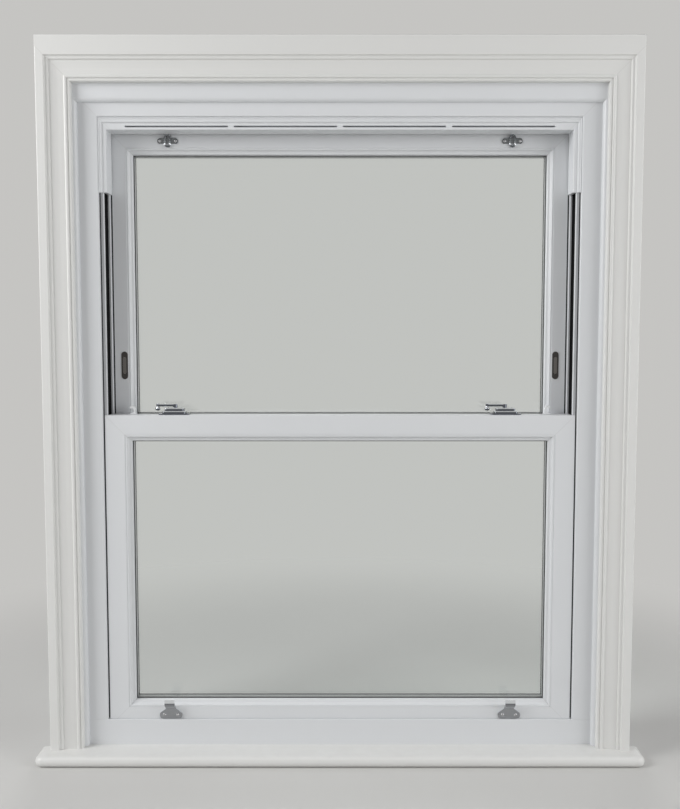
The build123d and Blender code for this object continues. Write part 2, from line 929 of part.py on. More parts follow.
# Sashes: four mitred bars each, with the rebate for the glass open towards the room
def sash_section(face, front, flange):
    """Section from the sash's outer edge inwards; a stile has a flange on its outer edge."""
    inner = face + bead_width
    section = [
        (0, front, 1),
        (face, front, 0.8),
        (face, front + rebate, 0),
        (inner, front + rebate, 0.5),
        (inner, front + sash_depth - leg_bevel, 0),
        (inner - leg_bevel, front + sash_depth, 0),
    ]
    if flange:
        section += [
            (flange, front + sash_depth, 1),
            (flange, front + flange_thickness, 0),
            (0, front + flange_thickness, 0.5),
        ]
    else:
        section.append((0, front + sash_depth, 1))
    return section


def bead_section(front):
    """Ovolo bead: a rounded ridge beside the sash face, then a hollow down to the glass."""
    face = front + bead_setback
    return [
        (0, face, 0.8),
        (3.6, face, 1.2),
        (4.4, face + 2.4, 0.6),
        (7.0, face + 5.6, 5.0),
        (11.3, face + 6.8, 1.6),
        (bead_width, face + 9.6, 0.8),
        (bead_width, face + bead_depth, 0),
        (0, face + bead_depth, 0),
    ]


def save_sash(name, half, body_half, face, low, high, front, cutters, rails):
    """Write a sash's stiles, rails, beads, panes, spacer and gaskets."""
    bars = {
        f"{name}_stile_left": ("left", half - body_half),
        f"{name}_stile_right": ("right", half - body_half),
        f"{name}_{rails[0]}": ("top", 0),
        f"{name}_{rails[1]}": ("bottom", 0),
    }
    channel_depth = (front + flange_thickness, front + sash_depth + 1)
    shoulders = [
        block((hand * body_half, hand * (half + 1)), channel_depth, (low - 1, high + 1))
        for _, hand in HANDS
    ]
    for node, (side, flange) in bars.items():
        bar = frame_bar(sash_section(face, front, flange), side, half, low, high)
        save_cut(bar, cutters if flange else cutters + shoulders, node)
    bead_half = half - face
    beads = [
        frame_bar(bead_section(front), side, bead_half, low + face, high - face,
                  gap=bead_mitre_gap)
        for side in SIDES
    ]
    save_group(beads, f"{name}_glazing_beads")
    glass_half = bead_half - glass_edge_gap
    glass_low = low + face + glass_edge_gap
    glass_high = high - face - glass_edge_gap
    panes = [
        pane_ring(glass_half, glass_low, glass_high, None, front + start, pane)
        for start in (glass_front, glass_front + pane + pane_gap)
    ]
    save_group(panes, f"{name}_glass_panes")
    spacer = pane_ring(
        glass_half - spacer_inset, glass_low + spacer_inset, glass_high - spacer_inset,
        spacer_width, front + glass_front + pane, pane_gap,
    )
    save_group([spacer], f"{name}_spacer")
    gasket_half = bead_half - bead_width - gasket_sight + gasket_width
    gasket_inset = half - gasket_half
    gaskets = [
        pane_ring(gasket_half, low + gasket_inset, high - gasket_inset, gasket_width,
                  front + start, gasket)
        for start in (bead_seat, glass_back)
    ]
    save_group(gaskets, f"{name}_glazing_gasket")


lower_cutters = latch_pockets + [pilot(*place, TO_ROOM) for place in lift_screws]
lower_cutters += [pilot(*place, UP) for place in fastener_screws]
save_sash(
    "lower", lower_half, lower_body_half, lower_face, lower_sash_foot, meeting_top,
    lower_front, lower_cutters, ("top_rail", "bottom_rail"),
)

# Travel restrictors: an oval plate on the stile and a flat bolt that slides out of it
restrictor_half = upper_half - restrictor_inset
restrictor_height = meeting_top + restrictor_rise
restrictor_pockets = []
restrictor_plates = []
plate_front = upper_front - restrictor_plate
for side, hand in HANDS:
    middle = (hand * restrictor_half, restrictor_height)
    with BuildPart() as pocket:
        with BuildSketch(room_view(plate_front)):
            with Locations(middle):
                SlotOverall(
                    bolt_length + 2 * bolt_clearance, bolt_width + 2 * bolt_clearance, rotation=90
                )
        extrude(amount=-(bolt_depth + bolt_clearance))
    restrictor_pockets.append(pocket.part)
    with BuildPart() as plate:
        with BuildSketch(room_view(upper_front)):
            with Locations(middle):
                SlotOverall(restrictor_length, restrictor_width, rotation=90)
        extrude(amount=restrictor_plate)
        add(pocket.part, mode=Mode.SUBTRACT)
    restrictor_plates.append(plate.part)
    with BuildPart() as restrictor_bolt:
        with BuildSketch(room_view(plate_front)):
            with Locations(middle):
                SlotOverall(bolt_length, bolt_width, rotation=90)
        extrude(amount=-bolt_depth)
    save(restrictor_bolt, f"restrictor_bolt_{side}")
save_group(restrictor_plates, "restrictor_plates")

upper_cutters = restrictor_pockets + [pilot(*place, TO_ROOM) for place in eye_screws]
upper_cutters += [pilot(*place, TO_ROOM) for place in keeper_screws]
save_sash(
    "upper", upper_half, upper_body_half, upper_face, upper_sash_foot, upper_sash_top,
    upper_front, upper_cutters, ("top_rail", "meeting_rail"),
)

# Interlocks: hooked strips between the meeting rails, in three lengths each
lower_leg_front = upper_front - interlock_rear_gap - interlock_wall
lower_arm_top = meeting_top - lower_interlock_drop
upper_arm_foot = upper_sash_foot + upper_interlock_rise
upper_leg_front = lower_back + interlock_standoff
interlock_spans = (
    (-interlock_reach, -fastener_offset - interlock_notch),
    (-fastener_offset + interlock_notch, fastener_offset - interlock_notch),
    (fastener_offset + interlock_notch, interlock_reach),
)
lower_hook = [
    (lower_back, lower_arm_top - interlock_arm, 0),
    (lower_leg_front, lower_arm_top - interlock_arm, 0),
    (lower_leg_front, lower_arm_top - interlock_leg, 0.5),
    (lower_leg_front + interlock_wall, lower_arm_top - interlock_leg, 0.5),
    (lower_leg_front + interlock_wall, lower_arm_top, 1),
    (lower_back, lower_arm_top, 0),
]
upper_hook = [
    (upper_front, upper_arm_foot, 0),
    (upper_leg_front, upper_arm_foot, 1),
    (upper_leg_front, upper_arm_foot + interlock_leg, 0.5),
    (upper_leg_front + interlock_wall, upper_arm_foot + interlock_leg, 0.5),
    (upper_leg_front + interlock_wall, upper_arm_foot + interlock_arm, 0),
    (upper_front, upper_arm_foot + interlock_arm, 0),
]
for name, hook in (("lower_interlock", lower_hook), ("upper_interlock", upper_hook)):
    with BuildPart() as interlock:
        for start, end in interlock_spans:
            with BuildSketch(side_view(start)):
                with BuildLine():
                    outline(hook)
                make_face()
            extrude(amount=end - start)
    save(interlock, name)

# Hook lifts: a bell-shaped plate whose neck bends out to the room and up into a tab
lift_back = lower_front
lift_face = lower_front - lift_thickness
tab_face = lift_back - lift_reach - lift_thickness
neck = lift_neck_width / 2
tab = lift_tab_width / 2
for side, hand in HANDS:
    with BuildPart() as sash_lift:
        with BuildSketch(side_view(hand * lift_offset)):
            with BuildLine():
                outline([
                    (lift_back, lift_foot, 0.5),
                    (lift_back, lift_foot + lift_rise + lift_thickness, lift_bend + 3),
                    (tab_face + lift_thickness, lift_foot + lift_rise + lift_thickness, 3),
                    (tab_face + lift_thickness, lift_foot + lift_height, 1.2),
                    (tab_face, lift_foot + lift_height, 1.2),
                    (tab_face, lift_foot + lift_rise, 6),
                    (lift_face, lift_foot + lift_rise, lift_bend),
                    (lift_face, lift_foot, 1.2),
                ])
            make_face()
        extrude(amount=lift_width / 2, both=True)
        with BuildSketch(room_view(lift_back + 1)):
            with BuildLine():
                outline([
                    (hand * lift_offset + across, lift_foot + up, rounding)
                    for across, up, rounding in (
                        (-lift_width / 2, 0, 7),
                        (lift_width / 2, 0, 7),
                        (lift_width / 2, lift_shoulder, 6),
                        (neck, lift_neck_height, 8),
                        (neck, lift_rise + 4, 1),
                        (tab, lift_rise + 7, 1),
                        (tab, lift_height + 1, 2),
                        (-tab, lift_height + 1, 2),
                        (-tab, lift_rise + 7, 1),
                        (-neck, lift_rise + 4, 1),
                        (-neck, lift_neck_height, 8),
                        (-lift_width / 2, lift_shoulder, 6),
                    )
                ])
            make_face()
        extrude(amount=lift_reach + 2 * lift_thickness, mode=Mode.INTERSECT)
        for place in lift_screws:
            x, depth, z = place
            with Locations(Plane(origin=(x, wall_y + depth, z), z_dir=TO_ROOM)):
                Cylinder(
                    screw_radius + screw_clearance,
                    2 * lift_thickness + 1,
                    mode=Mode.SUBTRACT,
                )
    save(sash_lift, f"sash_lift_{side}")

# Cam fasteners: a domed casing with the cam's chamber open at the back
pivot_depth = fastener_back - pivot_setback
casing_foot = meeting_top + fastener_plate
casing_top = casing_foot + casing_height
cam_low = casing_foot + cam_rise
cam_high = cam_low + cam_thickness
casing_back = fastener_back - 0.5
lever_foot = casing_top + cam_gap
lever_arm_top = lever_foot + lever_hub_height - 0.7
for side, hand in HANDS:
    centre = hand * fastener_offset
    with BuildPart() as fastener_base:
        with BuildSketch(plan(meeting_top)):
            with Locations((centre, fastener_middle)):
                RectangleRounded(fastener_length, fastener_width, 5)
        extrude(amount=fastener_plate)
        with BuildSketch(plan(casing_foot)):
            with Locations((centre, casing_back - casing_width / 2)):
                RectangleRounded(casing_length, casing_width, 4)
        with BuildSketch(plan(casing_top)):
            with Locations((centre, casing_back - casing_top_width / 2)):
                RectangleRounded(casing_top_length, casing_top_width, 4)
        loft()
        fillet(fastener_base.faces().sort_by(Axis.Z)[-1].edges(), 1.6)
        with Locations(Plane(origin=(centre, wall_y + pivot_depth, cam_low - cam_gap))):
            Cylinder(
                cam_radius + cam_gap,
                cam_thickness + 2 * cam_gap,
                align=STANDING,
                mode=Mode.SUBTRACT,
            )
            Cylinder(
                spindle_radius + spindle_clearance,
                casing_height,
                align=STANDING,
                mode=Mode.SUBTRACT,
            )
        for x, depth, z in fastener_screws:
            with Locations(Plane(origin=(x, wall_y + depth, z))):
                Cylinder(
                    screw_radius + screw_clearance,
                    2 * fastener_plate + 1,
                    mode=Mode.SUBTRACT,
                )
    save(fastener_base, f"fastener_base_{side}")

    # Lever: cam below, spindle through the casing, then hub, arm and hanging knob
    cam_plane = Plane(origin=(centre, wall_y + pivot_depth, cam_low))
    with BuildPart(cam_plane) as fastener_lever:
        with BuildSketch(cam_plane):
            with BuildLine():
                cam_points = [
                    (radius * math.cos(math.radians(turn)), radius * math.sin(math.radians(turn)))
                    for radius, turn in (
                        (cam_radius, 222),
                        ((cam_radius + cam_small_radius) / 2, 270),
                        (cam_small_radius, 318),
                    )
                ]
                Spline(*cam_points)
                Line(cam_points[-1], (cam_hub_radius * 0.7, cam_hub_radius * 0.7))
                Line((cam_hub_radius * 0.7, cam_hub_radius * 0.7),
                     (-cam_hub_radius * 0.7, cam_hub_radius * 0.7))
                Line((-cam_hub_radius * 0.7, cam_hub_radius * 0.7), cam_points[0])
            make_face()
            Circle(cam_hub_radius)
        extrude(amount=cam_thickness)
        Cylinder(spindle_radius, lever_foot - cam_low + 1, align=STANDING)
        with Locations((0, 0, lever_foot - cam_low)):
            Cylinder(lever_hub_radius, lever_hub_height, align=STANDING)
        with BuildSketch(Plane(origin=(centre, wall_y + pivot_depth, lever_arm_top))):
            with Locations((-lever_length / 2, 0)):
                SlotCenterToCenter(lever_length, lever_width)
        extrude(amount=-lever_thickness)
        knob_plane = Plane(
            origin=(centre - lever_length, wall_y + pivot_depth, lever_arm_top + 2),
            x_dir=(1, 0, 0),
            z_dir=(0, -1, 0),
        )
        with BuildSketch(knob_plane):
            with BuildLine():
                Polyline((0, -knob_height), (0, 0), (knob_radius * 0.5, 0))
                Spline(
                    (knob_radius * 0.5, 0),
                    (knob_radius * 0.6, -knob_height * 0.35),
                    (knob_radius, -knob_height * 0.72),
                    (0, -knob_height),
                    tangents=((1, -0.5), (-1, 0)),
                )
            make_face()
        revolve(axis=Axis(knob_plane.origin, (0, 0, 1)))
    save(fastener_lever, f"fastener_lever_{side}")

    # Keeper: a plate on the upper sash, with a window for the cam
    keeper_window_low = cam_low - keeper_window_gap
    keeper_window_high = cam_high + keeper_window_gap
    with BuildPart() as keeper:
        with BuildSketch(room_view(upper_front)):
            with BuildLine():
                outline([
                    (centre - keeper_width / 2, keeper_foot, 3),
                    (centre + keeper_width / 2, keeper_foot, 3),
                    (centre + keeper_width / 2, keeper_foot + keeper_height, 5),
                    (centre - keeper_width / 2, keeper_foot + keeper_height, 5),
                ])
            make_face()
            with Locations((centre, (keeper_window_low + keeper_window_high) / 2)):
                Rectangle(
                    keeper_window_width,
                    keeper_window_high - keeper_window_low,
                    mode=Mode.SUBTRACT,
                )
        extrude(amount=keeper_thickness)
        for x, depth, z in keeper_screws:
            with Locations(Plane(origin=(x, wall_y + depth, z), z_dir=TO_ROOM)):
                Cylinder(
                    screw_radius + screw_clearance,
                    2 * keeper_thickness + 1,
                    mode=Mode.SUBTRACT,
                )
    save(keeper, f"keeper_{side}")

    # Pole eye: an oval plate with a flat ring standing on it
    with BuildPart() as pole_eye:
        with BuildSketch(room_view(upper_front)):
            with Locations((hand * eye_offset, eye_middle)):
                SlotOverall(eye_plate_length, eye_plate_width)
        extrude(amount=eye_plate)
        for x, depth, z in eye_screws:
            with Locations(Plane(origin=(x, wall_y + depth, z), z_dir=TO_ROOM)):
                Cylinder(
                    screw_radius + screw_clearance, 2 * eye_plate + 1, mode=Mode.SUBTRACT
                )
        with BuildSketch(room_view(upper_front - eye_plate)):
            with Locations((hand * eye_offset, eye_middle)):
                SlotOverall(eye_height, eye_width, rotation=90)
                SlotOverall(
                    eye_height - 2 * eye_wire,
                    eye_width - 2 * eye_wire,
                    rotation=90,
                    mode=Mode.SUBTRACT,
                )
        extrude(amount=eye_wire)
        ring_edges = pole_eye.faces().sort_by(Axis.Y)[0].edges()
        fillet(ring_edges, 1.5)
    save(pole_eye, f"pole_eye_{side}")

# Screws of the hardware on each sash
lower_sash_screws = [screw(*place, TO_ROOM) for place in lift_screws]
lower_sash_screws += [screw(*place, UP) for place in fastener_screws]
save_group(lower_sash_screws, "lower_sash_screws")
upper_sash_screws = [screw(*place, TO_ROOM) for place in eye_screws + keeper_screws]
save_group(upper_sash_screws, "upper_sash_screws")
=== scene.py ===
import math

import bmesh
import bpy
from bpy.props import FloatProperty, FloatVectorProperty, IntProperty, PointerProperty
from mathutils import Matrix, Vector


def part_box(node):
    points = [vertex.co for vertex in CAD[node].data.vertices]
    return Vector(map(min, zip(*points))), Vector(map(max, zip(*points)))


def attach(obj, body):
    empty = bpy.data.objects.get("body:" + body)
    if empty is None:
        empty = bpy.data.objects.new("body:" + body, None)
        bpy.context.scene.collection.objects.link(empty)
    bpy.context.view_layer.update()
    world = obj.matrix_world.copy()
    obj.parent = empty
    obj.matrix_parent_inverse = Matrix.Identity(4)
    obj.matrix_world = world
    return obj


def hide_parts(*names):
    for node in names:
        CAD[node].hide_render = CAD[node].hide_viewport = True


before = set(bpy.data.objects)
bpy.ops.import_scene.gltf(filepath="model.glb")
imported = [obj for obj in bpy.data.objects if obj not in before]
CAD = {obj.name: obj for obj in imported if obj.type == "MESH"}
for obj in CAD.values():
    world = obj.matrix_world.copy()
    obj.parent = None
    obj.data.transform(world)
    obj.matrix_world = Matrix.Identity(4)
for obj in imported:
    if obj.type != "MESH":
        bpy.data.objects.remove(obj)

bl_info = {
    "name": "Sash Window",
    "version": (1, 0, 0),
    "blender": (4, 5, 0),
    "location": "3D View > Sidebar > Sash Window",
    "description": "Finishes, hardware and stage of a vertical sliding sash window",
    "category": "Object",
}

MM = 0.001

# A fastener's casing, and the two rounded steps over it
CASING_LENGTH = 46.8 * MM
CASING_WIDTH = 26.5 * MM
CASING_TOP_LENGTH = 30.0 * MM
CASING_TOP_WIDTH = 18.5 * MM
CASING_BACK_SETBACK = 0.5 * MM
CASING_CORNER = 4.0 * MM
CASING_SLOPE = 0.745
TIGHTEST_CORNER = 0.2 * MM
LOWER_STEP_SHARE = 0.46
LOWER_STEP_SINK = 0.15 * MM
UPPER_STEP_SINK = 1.8 * MM

# A fastener's lever, and the bar around its arm
KNOB_RISE = 2.0 * MM
KNOB_RADIUS = 5.0 * MM
HUB_RADIUS = 4.5 * MM
ARM_WIDTH = 7.0 * MM
ARM_TOP = 0.8 * MM
ARM_FOOT = 4.2 * MM
ARM_ROUND = 1.2 * MM
ARM_ROUND_STEPS = 3
ARM_END_SHARE = 0.49

# Steps of a quarter turn, the angle above which an edge stays sharp, and the part of a
# face's normal that tells a standing, a level and a backward face
ROUND_STEPS = 6
CREASE_ANGLE = math.radians(35)
STANDING = 0.1
LEVEL = 0.9
BACKWARD = 0.5

# Screws: the head's curve in shares of its radius and height, the shank's share of the
# radius, and how far each cross is turned
HEAD_CURVE = ((0.0, 1.0), (0.35, 0.97), (0.70, 0.76), (0.93, 0.40), (1.0, 0.0))
SHANK_SHARE = 0.56
CROSS_TURN = 0.35
CROSS_TURN_PER_METRE = 1.7
MERGE_DISTANCE = 1e-6

# Bands inside the sash channels, by distance from the window's middle and by depth: painted
# shade deep in each pocket, and the pale band of the brush pile
SHADED_POCKET_SIDE = (0.4713, 0.5300)
SHADED_POCKET_DEPTH = (-0.0395, -0.0005)
PALE_PILE_SIDE = (0.4680, 0.4766)

# Seams and dust; a foot that is this far down draws no seam at the bottom
NO_FOOT_SEAM = 2.0
PAINT_SEAM_WIDTH_SHARE = 0.6
PAINT_SEAM_SOIL = 0.4
PLASTIC_SEAM_SOIL = 0.22
SEAM_DEPTH = 0.2 * MM
SEAM_STRENGTH = 0.7
PAINT_DUST = (0.40, 0.38, 0.35, 1.0)
PLASTIC_DUST = (0.42, 0.41, 0.39, 1.0)

# Grain of the plastics, as noise per metre and as its share of a seam's depth
FRAME_GRAIN = 240.0
FRAME_GRAIN_SHARE = 0.01
SMALL_GRAIN = 1100.0
SMALL_GRAIN_STRENGTH = 0.35
RUBBER_GRAIN = 1500.0
RUBBER_GRAIN_STRENGTH = 0.4
GRAIN_DEPTH = 0.1 * MM

# Metals; a hairline is its depth and its strength, and a plated face's colour is a painted
# reflection whose tone goes by how far the face looks up
SPACER_COLOUR = (0.56, 0.57, 0.58, 1.0)
SPACER_POLISH = 0.34
ZINC_COLOUR = (0.52, 0.52, 0.53, 1.0)
ZINC_POLISH = 0.18
ZINC_HAIRLINE = (0.05 * MM, 0.3)
CHROME_HAIRLINE = (0.04 * MM, 0.25)
# How far a face looks up, between the chrome's painted shade and its painted highlight
PAINTED_REFLECTION_LOW = 0.12
PAINTED_REFLECTION_HIGH = 0.6
# Strength of the painted shade under a lift's lip, as a share; height of a pole eye's
# painted highlight band, as a share of the lip's
UNDER_LIP_SHADE_SHARE = 0.7
EYE_HIGHLIGHT_SHARE = 0.5

# The brush seals' fibres, and how much lighter their tips are
FIBRE_STRETCH = (1400.0, 90.0, 3200.0)
FIBRE_TIP = 2.6
FIBRE_DEPTH = 0.4 * MM

# Brush marks run along each painted bar
UPRIGHT_STROKES = (420.0, 420.0, 9.0)
HEAD_STROKES = (9.0, 420.0, 420.0)
BOARD_STROKES = (9.0, 380.0, 380.0)

# Stage; a lamp has its place and its size
FLOOR_RADIUS = 30.0
FLOOR_DROP = 0.6 * MM
FLOOR_FADE = (0.6, 1.7)
LAMP_TARGET = Vector((0.0, 0.0, 0.75))
KEY_LAMP = ((-2.6, -1.35, 2.0), 1.6)
FILL_LAMP = ((2.6, -1.35, 1.3), 2.0)
REAR_LAMP = ((0.0, 2.4, 1.3), 1.8)

# CAD nodes by the finish that they share
SURROUND = ["architrave_left", "architrave_right", "architrave_head"]
LININGS = ["lining_left", "lining_right", "lining_head"]
JAMBS = ["frame_jamb_left", "frame_jamb_right"]
BOX_FRAME = [
    "frame_head",
    "frame_cill",
    "sub_cill",
    "channel_cover_left",
    "channel_cover_right",
    "head_vent_trim",
    "outer_stop_left",
    "outer_stop_right",
]
LOWER_SASH = [
    "lower_stile_left",
    "lower_stile_right",
    "lower_top_rail",
    "lower_bottom_rail",
]
UPPER_SASH = [
    "upper_stile_left",
    "upper_stile_right",
    "upper_top_rail",
    "upper_meeting_rail",
]
LIFTS = ["sash_lift_left", "sash_lift_right"]
FASTENERS = [
    "fastener_base_left",
    "fastener_base_right",
    "fastener_lever_left",
    "fastener_lever_right",
]
KEEPERS = ["keeper_left", "keeper_right"]
POLE_EYES = ["pole_eye_left", "pole_eye_right"]
TILT_LATCHES = ["tilt_latch_left", "tilt_latch_right"]
BALANCE_RODS = ["lower_balance_rods", "upper_balance_rods"]
SCREWS = {
    "lower_sash_screws": "lower_sash",
    "upper_sash_screws": "upper_sash",
    "balance_screws": "frame",
}

# Small plastic pieces: material, CAD nodes, colour and sheen
SMALL_PLASTICS = (
    (
        "White Nylon",
        TILT_LATCHES + ["lower_balance_shoes", "upper_balance_shoes"],
        (0.78, 0.79, 0.80, 1.0),
        0.42,
    ),
    ("Restrictor Plate", ["restrictor_plates"], (0.045, 0.040, 0.036, 1.0), 0.42),
    (
        "Restrictor Bolt",
        ["restrictor_bolt_left", "restrictor_bolt_right"],
        (0.170, 0.158, 0.146, 1.0),
        0.36,
    ),
    (
        "Tube Plastic",
        ["inner_balance_tubes", "outer_balance_tubes"],
        (0.024, 0.024, 0.027, 1.0),
        0.38,
    ),
)


class SashWindowFinish(bpy.types.PropertyGroup):
    """Colours and surface of the painted, plastic and glazed pieces."""

    paint_colour: FloatVectorProperty(
        name="Paint", description="Colour of the surround and the board",
        subtype="COLOR", size=4, min=0.0, max=1.0, default=(0.79, 0.79, 0.775, 1.0),
    )
    paint_roughness: FloatProperty(
        name="Paint Roughness", description="Sheen of the paint",
        default=0.34, min=0.0, max=1.0, subtype="FACTOR",
    )
    brush_depth: FloatProperty(
        name="Brush Marks", description="Height of the marks that the brush left",
        default=0.00006, min=0.0, precision=5, subtype="DISTANCE",
    )
    plastic_colour: FloatVectorProperty(
        name="Plastic", description="Colour of the frame and the sashes",
        subtype="COLOR", size=4, min=0.0, max=1.0, default=(0.765, 0.78, 0.80, 1.0),
    )
    plastic_roughness: FloatProperty(
        name="Plastic Roughness", description="Sheen of the plastic",
        default=0.31, min=0.0, max=1.0, subtype="FACTOR",
    )
    seam_width: FloatProperty(
        name="Seam Width", description="Width of the cleaned seam at each mitre",
        default=0.0011, min=0.0, precision=4, subtype="DISTANCE",
    )
    dust: FloatProperty(
        name="Dust", description="How much dust lies on level faces",
        default=0.09, min=0.0, max=1.0, subtype="FACTOR",
    )
    glass_colour: FloatVectorProperty(
        name="Glass", description="Tint of the panes",
        subtype="COLOR", size=4, min=0.0, max=1.0, default=(0.975, 0.99, 0.985, 1.0),
    )
    rubber_colour: FloatVectorProperty(
        name="Gasket", description="Colour of the glazing gaskets",
        subtype="COLOR", size=4, min=0.0, max=1.0, default=(0.012, 0.012, 0.014, 1.0),
    )
    rubber_roughness: FloatProperty(
        name="Gasket Roughness", description="Sheen of the glazing gaskets",
        default=0.55, min=0.0, max=1.0, subtype="FACTOR",
    )
    # Painted shade: the pile is near black to stand in for the shade in the narrow slots
    pile_colour_and_shade: FloatVectorProperty(
        name="Brush Pile", description="Colour of the brush seals",
        subtype="COLOR", size=4, min=0.0, max=1.0, default=(0.016, 0.016, 0.018, 1.0),
    )
    # The pile's pale band, left light across the slot
    pale_pile_colour: FloatVectorProperty(
        name="Pale Pile Band", description="Colour of the pale band across the brush pile",
        subtype="COLOR", size=4, min=0.0, max=1.0, default=(0.52, 0.53, 0.55, 1.0),
    )
    # Painted shade deep inside the sash channels
    pocket_painted_shade: FloatVectorProperty(
        name="Pocket", description="Colour deep inside the sash channels",
        subtype="COLOR", size=4, min=0.0, max=1.0, default=(0.030, 0.030, 0.032, 1.0),
    )


class SashWindowHardware(bpy.types.PropertyGroup):
    """Painted reflection colours of the metal, and sizes of the fasteners and the screws.
    """

    # Painted highlight: plated faces that look up get this colour in place of reflected
    # light
    chrome_painted_highlight: FloatVectorProperty(
        name="Chrome", description="Colour of the plated faces that look up",
        subtype="COLOR", size=4, min=0.0, max=1.0, default=(0.90, 0.92, 0.95, 1.0),
    )
    # Painted shade: plated faces that stand upright get this colour in place of dark
    # reflections
    chrome_painted_shade: FloatVectorProperty(
        name="Chrome Shade", description="Colour of the plated faces that stand upright",
        subtype="COLOR", size=4, min=0.0, max=1.0, default=(0.40, 0.41, 0.43, 1.0),
    )
    # Painted shade of a pole eye's upright faces, darker than the chrome's
    eye_painted_shade: FloatVectorProperty(
        name="Eye Shade", description="Colour of a pole eye's faces that stand upright",
        subtype="COLOR", size=4, min=0.0, max=1.0, default=(0.19, 0.20, 0.21, 1.0),
    )
    # Painted shade of a fastener's upright faces, the darkest; also the painted shade under
    # a lift's lip
    casing_painted_shade: FloatVectorProperty(
        name="Casing Shade", description="Colour of a fastener's faces that stand upright",
        subtype="COLOR", size=4, min=0.0, max=1.0, default=(0.13, 0.14, 0.16, 1.0),
    )
    eye_wire: FloatProperty(
        name="Eye Wire", description="Thickness of a pole eye's bow",
        default=0.004, min=0.0, precision=4, subtype="DISTANCE",
    )
    # Painted highlight: height of the bright band along the top of a lift, and of the
    # painted shade below it
    lip_highlight_height: FloatProperty(
        name="Lip Height", description="Height of the bright lip at the top of a lift",
        default=0.0065, min=0.0, precision=4, subtype="DISTANCE",
    )
    chrome_roughness: FloatProperty(
        name="Chrome Roughness", description="Polish of the plated hardware",
        default=0.09, min=0.0, max=1.0, subtype="FACTOR",
    )
    plate_thickness: FloatProperty(
        name="Plate Thickness", description="Thickness of the fastener's foot plate",
        default=0.0024, min=0.0005, precision=4, subtype="DISTANCE",
    )
    casing_round: FloatProperty(
        name="Casing Round", description="Radius along the top of each step of the casing",
        default=0.0026, min=0.0002, precision=4, subtype="DISTANCE",
    )
    head_height: FloatProperty(
        name="Head Height", description="Height of a screw's head",
        default=0.0016, min=0.0005, precision=4, subtype="DISTANCE",
    )
    recess_reach: FloatProperty(
        name="Recess Reach", description="Half the length of the cross in a screw's head",
        default=0.0019, min=0.0005, precision=4, subtype="DISTANCE",
    )
    recess_width: FloatProperty(
        name="Recess Width", description="Width of each arm of the cross",
        default=0.00075, min=0.0002, precision=5, subtype="DISTANCE",
    )
    recess_depth: FloatProperty(
        name="Recess Depth", description="Depth of the cross below the top of the head",
        default=0.0013, min=0.0002, precision=4, subtype="DISTANCE",
    )
    head_segments: IntProperty(
        name="Head Segments", description="Steps around a screw's head",
        default=32, min=12,
    )


class SashWindowStage(bpy.types.PropertyGroup):
    """Backdrop, lamps and camera."""

    backdrop_colour: FloatVectorProperty(
        name="Backdrop", description="Colour behind the window",
        subtype="COLOR", size=4, min=0.0, max=1.0, default=(0.56, 0.555, 0.54, 1.0),
    )
    floor_colour: FloatVectorProperty(
        name="Floor", description="Colour of the floor",
        subtype="COLOR", size=4, min=0.0, max=1.0, default=(0.66, 0.655, 0.64, 1.0),
    )
    sky_strength: FloatProperty(
        name="Room Light", description="Strength of the even light",
        default=0.25, min=0.0,
    )
    key_power: FloatProperty(
        name="Key Lamp", description="Power of the main lamp",
        default=64.0, min=0.0, subtype="POWER",
    )
    fill_power: FloatProperty(
        name="Fill Lamp", description="Power of the second lamp",
        default=40.0, min=0.0, subtype="POWER",
    )
    rear_power: FloatProperty(
        name="Rear Lamp", description="Power of the lamp outdoors",
        default=5.5, min=0.0, subtype="POWER",
    )
    rear_spread: FloatProperty(
        name="Rear Spread", description="How widely the lamp outdoors shines",
        default=math.radians(50.0), subtype="ANGLE",
    )
    eye_distance: FloatProperty(
        name="Camera Distance", description="Camera's place in front of the origin",
        default=2.0395, min=0.5, precision=4, subtype="DISTANCE",
    )
    eye_height: FloatProperty(
        name="Camera Height", description="Camera's height",
        default=0.886, min=0.0, precision=3, subtype="DISTANCE",
    )
    eye_pitch: FloatProperty(
        name="Camera Pitch", description="How far the camera looks down",
        default=math.radians(4.53), subtype="ANGLE",
    )
    focal_length: FloatProperty(
        name="Focal Length", description="Camera's focal length in millimetres",
        default=44.05, min=10.0,
    )


def wire(tree, kind, values=None, **settings):
    """Add a node with its settings, and give its inputs values or links."""
    item = tree.nodes.new(kind)
    for name, value in settings.items():
        setattr(item, name, value)
    for name, value in (values or {}).items():
        if isinstance(value, bpy.types.NodeSocket):
            tree.links.new(value, item.inputs[name])
        else:
            item.inputs[name].default_value = value
    return item


def maths(tree, operation, first, second=None):
    """Output of a Math node."""
    given = {0: first} if second is None else {0: first, 1: second}
    return wire(tree, "ShaderNodeMath", given, operation=operation).outputs[0]


def part_of(tree, vector, axis):
    """One part of a vector: X, Y or Z."""
    return wire(tree, "ShaderNodeSeparateXYZ", {0: vector}).outputs[axis]


def within(tree, value, start, end):
    """Mask of the values between a start and an end."""
    past = maths(tree, "GREATER_THAN", value, start)
    return maths(tree, "MULTIPLY", past, maths(tree, "LESS_THAN", value, end))


def eased(tree, value, start, end, **ends):
    """Value eased from 0 at the start to 1 at the end, or between other ends."""
    given = {"Value": value, "From Min": start, "From Max": end}
    given.update({label.replace("_", " "): level for label, level in ends.items()})
    return wire(
        tree, "ShaderNodeMapRange", given, interpolation_type="SMOOTHSTEP"
    ).outputs[0]


def noise(tree, position, scale, detail, **more):
    """Output of a noise texture."""
    given = {"Vector": position, "Scale": scale, "Detail": detail, **more}
    return wire(tree, "ShaderNodeTexNoise", given).outputs["Fac"]


def patchy(tree, base, position, scale, detail, low, high):
    """Value that noise varies by a little to each side."""
    spread = wire(
        tree, "ShaderNodeMapRange",
        {"Value": noise(tree, position, scale, detail), "To Min": low, "To Max": high},
    )
    return maths(tree, "ADD", base, spread.outputs[0])


